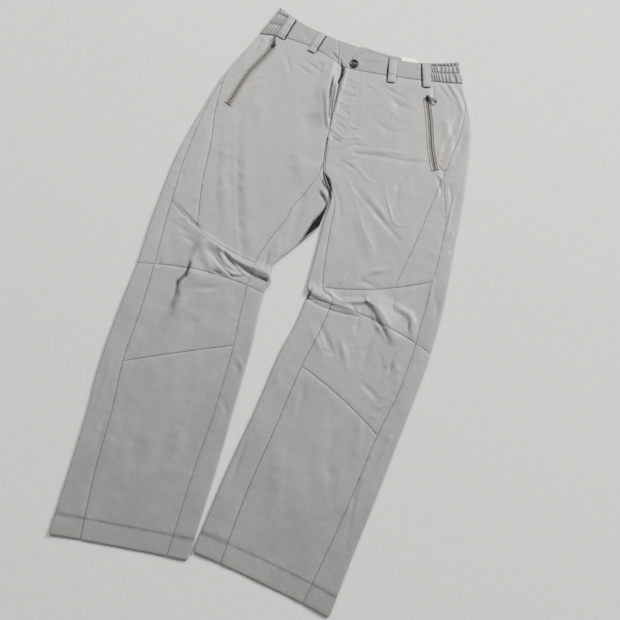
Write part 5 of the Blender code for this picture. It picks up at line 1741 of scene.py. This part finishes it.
    def sew_waist(self, thread: bpy.types.Material) -> None:
        """Sews the bands, the fly and the elastic tunnels."""
        sewing = Sewing(self.top, "waist_stitches", length=2.1, pitch=2.8, breadth=0.45)
        right, left = self.halves[Side.RIGHT], self.halves[Side.LEFT]
        right_end = float(right.half_loop(np.array([1.0]))[0])
        left_end = float(left.half_loop(np.array([1.0]))[0])
        starts = {side: front + 2 for side, front in ELASTIC_FRONT.items()}
        for half, row, end, shift in (
            (right, 1.0, right_end - 13, -self.seam_stitches),
            (left, 1.0, left_end - 3, -self.seam_stitches),
            (right, 0.0, right_end - 34, self.top_stitches),
            (left, 0.0, left_end - 60, self.top_stitches),
        ):
            sewing.row(self.cross_line(half, row, starts[half.side], end, shift))
        for half in (right, left):
            for tunnel in range(1, TUNNELS):
                for shift in (-self.tunnel_stitches, self.tunnel_stitches):
                    sewing.row(self.cross_line(half, tunnel / TUNNELS, 6,
                                               ELASTIC_FRONT[half.side] - 16, shift))
        for line in FLY_CURVES:
            sewing.row(line)
        sewing.row(FLY_EDGE, offset=self.fly_stitches)
        for offset in (self.tack_stitches, -self.tack_stitches):
            sewing.row(FLY_BAR, offset=offset)
        for side, line in ZIP_LINES.items():
            for offset in (-self.tape_stitches, self.tape_stitches):
                sewing.row(line, offset=offset)
            foot = line[-1]
            for shift in (-3.0, -4.6):
                sewing.row(((foot[0] - 9, foot[1] + shift), (foot[0] + 9, foot[1] + shift)))
        sewing.finish(thread)


@dataclass
class Shading:
    """Short ways to add and join shader nodes in one tree."""

    tree: bpy.types.NodeTree

    def add(self, kind: str, **settings: object) -> bpy.types.Node:
        """Adds a node and sets its properties."""
        node = self.tree.nodes.new(kind)
        for name, value in settings.items():
            setattr(node, name, value)
        return node

    def feed(self, node: bpy.types.Node, socket: str | int, source: object) -> None:
        """Joins a source socket to an input, or sets the input's own value."""
        target = node.inputs[socket]
        if isinstance(source, bpy.types.NodeSocket):
            self.tree.links.new(source, target)
        else:
            target.default_value = source

    def maths(self, operation: str, *values: object, clamp: bool = False) -> bpy.types.NodeSocket:
        """Adds a Math node over sockets or numbers."""
        node = self.add("ShaderNodeMath", operation=operation, use_clamp=clamp)
        for place, value in enumerate(values):
            self.feed(node, place, value)
        return node.outputs[0]

    def scaled(self, vector: object, factor: object) -> bpy.types.NodeSocket:
        """Scales a vector."""
        node = self.add("ShaderNodeVectorMath", operation="SCALE")
        self.feed(node, 0, vector)
        self.feed(node, "Scale", factor)
        return node.outputs[0]

    def noise(self, vector: object, scale: float, detail: float = 3.0,
              roughness: float = 0.5) -> bpy.types.NodeSocket:
        """Adds a noise texture and gives its value."""
        node = self.add("ShaderNodeTexNoise", noise_dimensions="3D")
        self.feed(node, "Vector", vector)
        self.feed(node, "Scale", scale)
        self.feed(node, "Detail", detail)
        self.feed(node, "Roughness", roughness)
        return node.outputs[0]

    def spread(self, value: object, low: float, high: float, to_low: float = 0.0,
               to_high: float = 1.0) -> bpy.types.NodeSocket:
        """Maps a range of values onto another, smoothly and clamped."""
        node = self.add("ShaderNodeMapRange", interpolation_type="SMOOTHSTEP")
        for name, number in (("Value", value), ("From Min", low), ("From Max", high),
                             ("To Min", to_low), ("To Max", to_high)):
            self.feed(node, name, number)
        return node.outputs[0]

    def bump(self, height: object, strength: float, distance: float,
             below: object = None) -> bpy.types.NodeSocket:
        """Turns a height into a normal, over another normal if one is given."""
        node = self.add("ShaderNodeBump")
        self.feed(node, "Height", height)
        node.inputs["Strength"].default_value = strength
        node.inputs["Distance"].default_value = distance
        if below is not None:
            self.feed(node, "Normal", below)
        return node.outputs[0]

    def blended(self, factor: object, first: object, second: object) -> bpy.types.NodeSocket:
        """Mixes two colours."""
        node = self.add("ShaderNodeMix", data_type="RGBA")
        for name, value in (("Factor", factor), ("A", first), ("B", second)):
            socket = next(s for s in node.inputs
                          if s.name == name and s.type == ("VALUE" if name == "Factor" else "RGBA"))
            if isinstance(value, bpy.types.NodeSocket):
                self.tree.links.new(value, socket)
            else:
                socket.default_value = value
        return next(s for s in node.outputs if s.type == "RGBA")


def begun(name: str) -> tuple[bpy.types.Material, Shading, bpy.types.Node, bpy.types.Node]:
    """Starts a material: itself, its shading tree, its shader and its coordinates."""
    material = bpy.data.materials.new(name)
    material.use_nodes = True
    s = Shading(material.node_tree)
    shader = material.node_tree.nodes["Principled BSDF"]
    return material, s, shader, s.add("ShaderNodeTexCoord")


class SharedEffects:
    """Shader groups that several finishes use."""

    def __init__(self) -> None:
        """Builds each group once."""
        self.weave = self.make_weave()
        self.crumple = self.make_crumple()
        self.grime = self.make_tone()

    @staticmethod
    def begin(name: str, inputs: Sequence[tuple[str, str]],
              outputs: Sequence[tuple[str, str]]) -> tuple[Shading, bpy.types.Node, bpy.types.Node]:
        """Starts a group with named sockets.

        Args:
            name: the group's name.
            inputs: names and socket types of its inputs.
            outputs: names and socket types of its outputs.

        Returns:
            The group's shading tree, its input node and its output node.
        """
        tree = bpy.data.node_groups.new(name, "ShaderNodeTree")
        for way, sockets in (("INPUT", inputs), ("OUTPUT", outputs)):
            for socket, kind in sockets:
                tree.interface.new_socket(name=socket, in_out=way, socket_type=kind)
        shading = Shading(tree)
        return shading, shading.add("NodeGroupInput"), shading.add("NodeGroupOutput")

    def make_weave(self) -> bpy.types.NodeTree:
        """Plain weave on a flat map: thread height and tint."""
        s, given, result = self.begin(
            "plain_weave",
            (("Vector", "NodeSocketVector"), ("Threads", "NodeSocketFloat")),
            (("Height", "NodeSocketFloat"), ("Tint", "NodeSocketFloat")))
        turned = s.scaled(given.outputs["Vector"], given.outputs["Threads"])
        parts = s.add("ShaderNodeSeparateXYZ")
        s.feed(parts, 0, turned)
        warp = s.maths("SINE", s.maths("MULTIPLY", parts.outputs[0], 2 * math.pi))
        weft = s.maths("SINE", s.maths("MULTIPLY", parts.outputs[1], 2 * math.pi))
        over = s.maths("MULTIPLY", warp, weft)
        rounds = s.maths("ADD", s.maths("ABSOLUTE", warp), s.maths("ABSOLUTE", weft))
        height = s.maths("ADD", s.maths("MULTIPLY", over, 0.5), s.maths("MULTIPLY", rounds, 0.25))
        slub = s.noise(given.outputs["Vector"], 900.0, 2.0)
        s.feed(result, "Height", height)
        s.feed(result, "Tint", s.maths("ADD", s.maths("MULTIPLY", over, 0.35), slub))
        return s.tree

    def make_crumple(self) -> bpy.types.NodeTree:
        """Soft small crumples over the cloth: a height."""
        s, given, result = self.begin(
            "soft_crumple",
            (("Vector", "NodeSocketVector"), ("Size", "NodeSocketFloat")),
            (("Height", "NodeSocketFloat"), ("Mask", "NodeSocketFloat")))
        base = s.scaled(given.outputs["Vector"], given.outputs["Size"])
        broad = s.noise(base, 1.0, 4.0, 0.55)
        ridged = s.maths("ABSOLUTE", s.maths("SUBTRACT", s.noise(base, 2.3, 2.0, 0.4), 0.5))
        height = s.maths("SUBTRACT", broad, s.maths("MULTIPLY", ridged, 0.8))
        s.feed(result, "Height", height)
        s.feed(result, "Mask", s.spread(broad, 0.3, 0.7))
        return s.tree

    def make_tone(self) -> bpy.types.NodeTree:
        """Uneven tone of washed cloth: a value round 0.5."""
        s, given, result = self.begin(
            "uneven_tone",
            (("Vector", "NodeSocketVector"),),
            (("Value", "NodeSocketFloat"),))
        wide = s.noise(given.outputs["Vector"], 9.0, 3.0)
        close = s.noise(given.outputs["Vector"], 60.0, 4.0, 0.6)
        mixed = s.maths("ADD", s.maths("MULTIPLY", wide, 0.6), s.maths("MULTIPLY", close, 0.4))
        s.feed(result, "Value", s.spread(mixed, 0.32, 0.68))
        return s.tree

    @staticmethod
    def use(s: Shading, group: bpy.types.NodeTree) -> bpy.types.Node:
        """Places a group in a material."""
        return s.add("ShaderNodeGroup", node_tree=group)


@dataclass(frozen=True)
class ClothFinish:
    """Woven cloth: its tones, weave and small crumples, and its painted shade along folds, beside seams and
    towards the hems.
    """

    name: str
    tone: Colour
    dark: Colour
    # Tone of the painted shade beside seams.
    seam: Colour
    roughness: float = 0.82
    sheen: float = 0.12
    threads: float = 1500.0
    weave_depth: float = 0.25
    crumple_size: float = 55.0
    crumple_depth: float = 0.14
    seam_width: float = 1.1
    specular: float = 0.5
    # Near-black tone of the painted shade along folds and towards the hems.
    hollow: Colour = (0.006, 0.006, 0.006)
    foot_dark: float = 0.25
    foot_y: float = -0.52
    knee_y: float = 0.08

    def build(self, effects: SharedEffects) -> bpy.types.Material:
        """Makes the material."""
        material, s, shader, where = begun(self.name)
        flat, solid = where.outputs["UV"], where.outputs["Object"]
        edge = s.add("ShaderNodeAttribute", attribute_name="seam_distance")
        tone = effects.use(s, effects.grime)
        s.feed(tone, "Vector", solid)
        weave = effects.use(s, effects.weave)
        s.feed(weave, "Vector", flat)
        s.feed(weave, "Threads", self.threads)
        crumple = effects.use(s, effects.crumple)
        s.feed(crumple, "Vector", solid)
        s.feed(crumple, "Size", self.crumple_size)
        plain = s.blended(tone.outputs["Value"], (*self.dark, 1), (*self.tone, 1))
        # Painted shade: the colour darkens from the knees down towards the hems.
        parts = s.add("ShaderNodeSeparateXYZ")
        s.feed(parts, 0, solid)
        down = s.spread(parts.outputs[1], self.foot_y, self.knee_y, self.foot_dark, 0.0)
        plain = s.blended(down, plain, (*self.hollow, 1))
        tinted = s.blended(s.spread(weave.outputs["Tint"], 0.0, 1.0, 0.0, 0.10), plain,
                           (*self.dark, 1))
        # Painted shade beside seams: the colour darkens towards the seam tone near an edge.
        near = s.spread(edge.outputs["Fac"], 0.0, self.seam_width, 0.4, 0.0)
        # Painted shade along the folds: the colour goes to near black and Metallic rises with it, so that
        # no shine is left there.
        painted_shade = s.add("ShaderNodeAttribute", attribute_name="fold_shade")
        lit = s.blended(near, tinted, (*self.seam, 1))
        s.feed(shader, "Base Color", s.blended(painted_shade.outputs["Fac"], lit, (*self.hollow, 1)))
        s.feed(shader, "Metallic", painted_shade.outputs["Fac"])
        s.feed(shader, "Roughness", s.spread(tone.outputs["Value"], 0.0, 1.0,
                                             self.roughness - 0.06, self.roughness + 0.06))
        shader.inputs["Sheen Weight"].default_value = self.sheen
        shader.inputs["Sheen Roughness"].default_value = 0.5
        shader.inputs["Specular IOR Level"].default_value = self.specular
        threads = s.bump(weave.outputs["Height"], self.weave_depth, 0.0001)
        s.feed(shader, "Normal",
               s.bump(crumple.outputs["Height"], self.crumple_depth, 0.004, below=threads))
        return material


@dataclass(frozen=True)
class ThreadFinish:
    """Sewing thread with a fine twist."""

    name: str
    tone: Colour
    dark: Colour

    def build(self, effects: SharedEffects) -> bpy.types.Material:
        """Makes the material."""
        material, s, shader, where = begun(self.name)
        twist = s.noise(where.outputs["Object"], 4200.0, 2.0)
        tone = effects.use(s, effects.grime)
        s.feed(tone, "Vector", where.outputs["Object"])
        mixed = s.maths("MULTIPLY", s.spread(twist, 0.3, 0.7), tone.outputs["Value"])
        s.feed(shader, "Base Color", s.blended(mixed, (*self.dark, 1), (*self.tone, 1)))
        shader.inputs["Roughness"].default_value = 0.7
        s.feed(shader, "Normal", s.bump(twist, 0.3, 0.0002))
        return material


@dataclass(frozen=True)
class MetalFinish:
    """Dark plated metal, rubbed brighter in places."""

    name: str
    dark: Colour
    rubbed: Colour
    roughness: float
    metallic: float = 0.9
    shine: float = 0.5

    def build(self, effects: SharedEffects) -> bpy.types.Material:
        """Makes the material."""
        material, s, shader, where = begun(self.name)
        fine = s.noise(where.outputs["Object"], 700.0, 4.0, 0.6)
        crumple = effects.use(s, effects.crumple)
        s.feed(crumple, "Vector", where.outputs["Object"])
        s.feed(crumple, "Size", 420.0)
        rub = s.maths("MULTIPLY", s.spread(fine, 0.45, 0.75), crumple.outputs["Mask"])
        s.feed(shader, "Base Color", s.blended(rub, (*self.dark, 1), (*self.rubbed, 1)))
        s.feed(shader, "Roughness", s.spread(fine, 0.3, 0.7, self.roughness - 0.08,
                                             self.roughness + 0.14))
        shader.inputs["Metallic"].default_value = self.metallic
        shader.inputs["Specular IOR Level"].default_value = self.shine
        s.feed(shader, "Normal", s.bump(fine, 0.15, 0.0002))
        return material


@dataclass(frozen=True)
class FloorFinish:
    """Pale woven mat, almost even."""

    name: str = "pale_floor"
    light: Colour = (0.527, 0.523, 0.516)
    dark: Colour = (0.487, 0.484, 0.478)

    def build(self, effects: SharedEffects) -> bpy.types.Material:
        """Makes the material."""
        material, s, shader, where = begun(self.name)
        fine = s.noise(where.outputs["Object"], 55.0, 6.0, 0.65)
        s.feed(shader, "Base Color", s.blended(s.spread(fine, 0.3, 0.7), (*self.dark, 1),
                                               (*self.light, 1)))
        shader.inputs["Roughness"].default_value = 0.9
        weave = effects.use(s, effects.weave)
        s.feed(weave, "Vector", where.outputs["Object"])
        s.feed(weave, "Threads", 260.0)
        s.feed(shader, "Normal", s.bump(weave.outputs["Height"], 0.25, 0.0006))
        return material


@dataclass(frozen=True)
class Studio:
    """The floor, the lights and the camera."""

    eye: tuple[float, float, float] = (0.0956, -0.2333, 1.12)
    turn: tuple[float, float, float] = (10.453, -1.001, 17.801)
    lens: float = 36.0
    floor_side: float = 6.0
    key_from: tuple[float, float, float] = (2.85, 4.2, 3.2)
    key_at: tuple[float, float, float] = (0.02, 0.12, 0.0)
    key_side: float = 1.9
    key_power: float = 1040.0
    fill_from: tuple[float, float, float] = (-1.2, 1.9, 2.1)
    fill_side: float = 1.3
    fill_power: float = 75.0
    sky: float = 0.40

    def build(self, floor_finish: bpy.types.Material) -> None:
        """Sets the studio up round the trousers."""
        self.lay_floor(floor_finish)
        self.hang_light("key", self.key_from, self.key_at, self.key_side, self.key_power)
        self.hang_light("fill", self.fill_from, (0.0, 0.0, 0.0), self.fill_side, self.fill_power)
        world = bpy.data.worlds.new("studio")
        world.use_nodes = True
        ground = world.node_tree.nodes["Background"]
        ground.inputs["Color"].default_value = (0.97, 0.985, 1.0, 1.0)
        ground.inputs["Strength"].default_value = self.sky
        bpy.context.scene.world = world
        data = bpy.data.cameras.new("camera")
        data.sensor_width = 36.0
        data.lens = self.lens
        data.clip_start = 0.01
        camera = bpy.data.objects.new("camera", data)
        camera.location = self.eye
        camera.rotation_euler = [math.radians(a) for a in self.turn]
        bpy.context.collection.objects.link(camera)
        bpy.context.scene.camera = camera

    def lay_floor(self, finish: bpy.types.Material) -> None:
        """Lays the floor just under the cloth."""
        shape = bmesh.new()
        bmesh.ops.create_grid(shape, x_segments=2, y_segments=2, size=self.floor_side / 2)
        floor = from_shape("floor", shape, finish)

    def hang_light(self, name: str, place: Sequence[float], target: Sequence[float], side: float,
                   power: float) -> None:
        """Hangs one square light that faces a target."""
        data = bpy.data.lights.new(name, "AREA")
        data.shape = "SQUARE"
        data.size = side
        data.energy = power
        lamp = bpy.data.objects.new(name, data)
        lamp.location = place
        facing = Vector(target) - Vector(place)
        lamp.rotation_euler = facing.to_track_quat("-Z", "Y").to_euler()
        bpy.context.collection.objects.link(lamp)


# Each cloth has its tone, its darker tone and the tone of its painted shade beside seams.
CLOTH_FINISHES = (
    ClothFinish("shell_cloth", (0.190, 0.189, 0.181), (0.164, 0.163, 0.156),
                (0.085, 0.084, 0.08), roughness=0.52, sheen=0.2, specular=0.7),
    ClothFinish("band_cloth", (0.143, 0.142, 0.136), (0.135, 0.134, 0.128),
                (0.07, 0.069, 0.066), roughness=0.55, sheen=0.2, specular=0.6),
    ClothFinish("zip_tape_cloth", (0.125, 0.118, 0.095), (0.10, 0.094, 0.075),
                (0.03, 0.028, 0.02), threads=1100.0, crumple_depth=0.05, seam_width=1.0),
    ClothFinish("label_cloth", (0.97, 0.97, 0.97), (0.93, 0.93, 0.93),
                (0.70, 0.70, 0.69), threads=2200.0, crumple_depth=0.05),
)
THREAD = ThreadFinish("thread", (0.17, 0.168, 0.158), (0.09, 0.089, 0.082))
METAL_FINISHES = (
    MetalFinish("dark_metal", (0.018, 0.018, 0.019), (0.13, 0.128, 0.12), 0.4),
    MetalFinish("coated_metal", (0.018, 0.018, 0.018), (0.05, 0.049, 0.047), 0.6,
                metallic=0.0, shine=0.2),
    MetalFinish("zip_teeth", (0.035, 0.032, 0.024), (0.10, 0.09, 0.065), 0.5),
)
FIRST_SEED = 100


def main() -> None:
    """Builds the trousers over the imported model, piece by piece."""
    logging.basicConfig(level=logging.INFO, format="%(name)s: %(message)s")
    effects = SharedEffects()
    cloth, band, tape, white = (finish.build(effects) for finish in CLOTH_FINISHES)
    thread = THREAD.build(effects)
    metal, coated, teeth = (finish.build(effects) for finish in METAL_FINISHES)

    right = LegHalf(Side.RIGHT, RIGHT_ROWS, RIGHT_CREASES)
    left = LegHalf(Side.LEFT, LEFT_ROWS, LEFT_CREASES)
    halves = {Side.RIGHT: right, Side.LEFT: left}
    waist = Waist(right, left)
    parts = Leg(right).pieces() + Leg(left).pieces()
    parts += [waist.elastic(right), waist.elastic(left), waist.right_front(), waist.left_front()]
    laid = [part.build(band if part.open_top else cloth, FIRST_SEED + number)
            for number, part in enumerate(parts)]
    laid.append(waist.back(band))
    top = ClothTop(laid)
    on_front = {side.word: ZipOpening(side, top).build(cloth, tape, teeth) for side in Side}
    for part in parts:
        side_word, _, kind = part.node.partition("_")
        part.declare(on_front[side_word] if kind == "front_thigh" else ())
    Button().build(top, metal)
    trimmings = Trimmings(halves, top)
    trimmings.belt_loops(cloth, thread)
    trimmings.label(white)
    for side in Side:
        trimmings.sew_leg(side, thread)
    trimmings.sew_waist(thread)
    for side in Side:
        PullTab(side, PULL_LENGTHS[side]).build(coated)
    for node in ("right_slider", "left_slider"):
        for holder in bpy.data.objects[node].material_slots:
            holder.material = metal
        LOG.info("%s: dressed in dark metal", node)
    Studio().build(FloorFinish().build(effects))


if __name__ == "__main__":
    main()
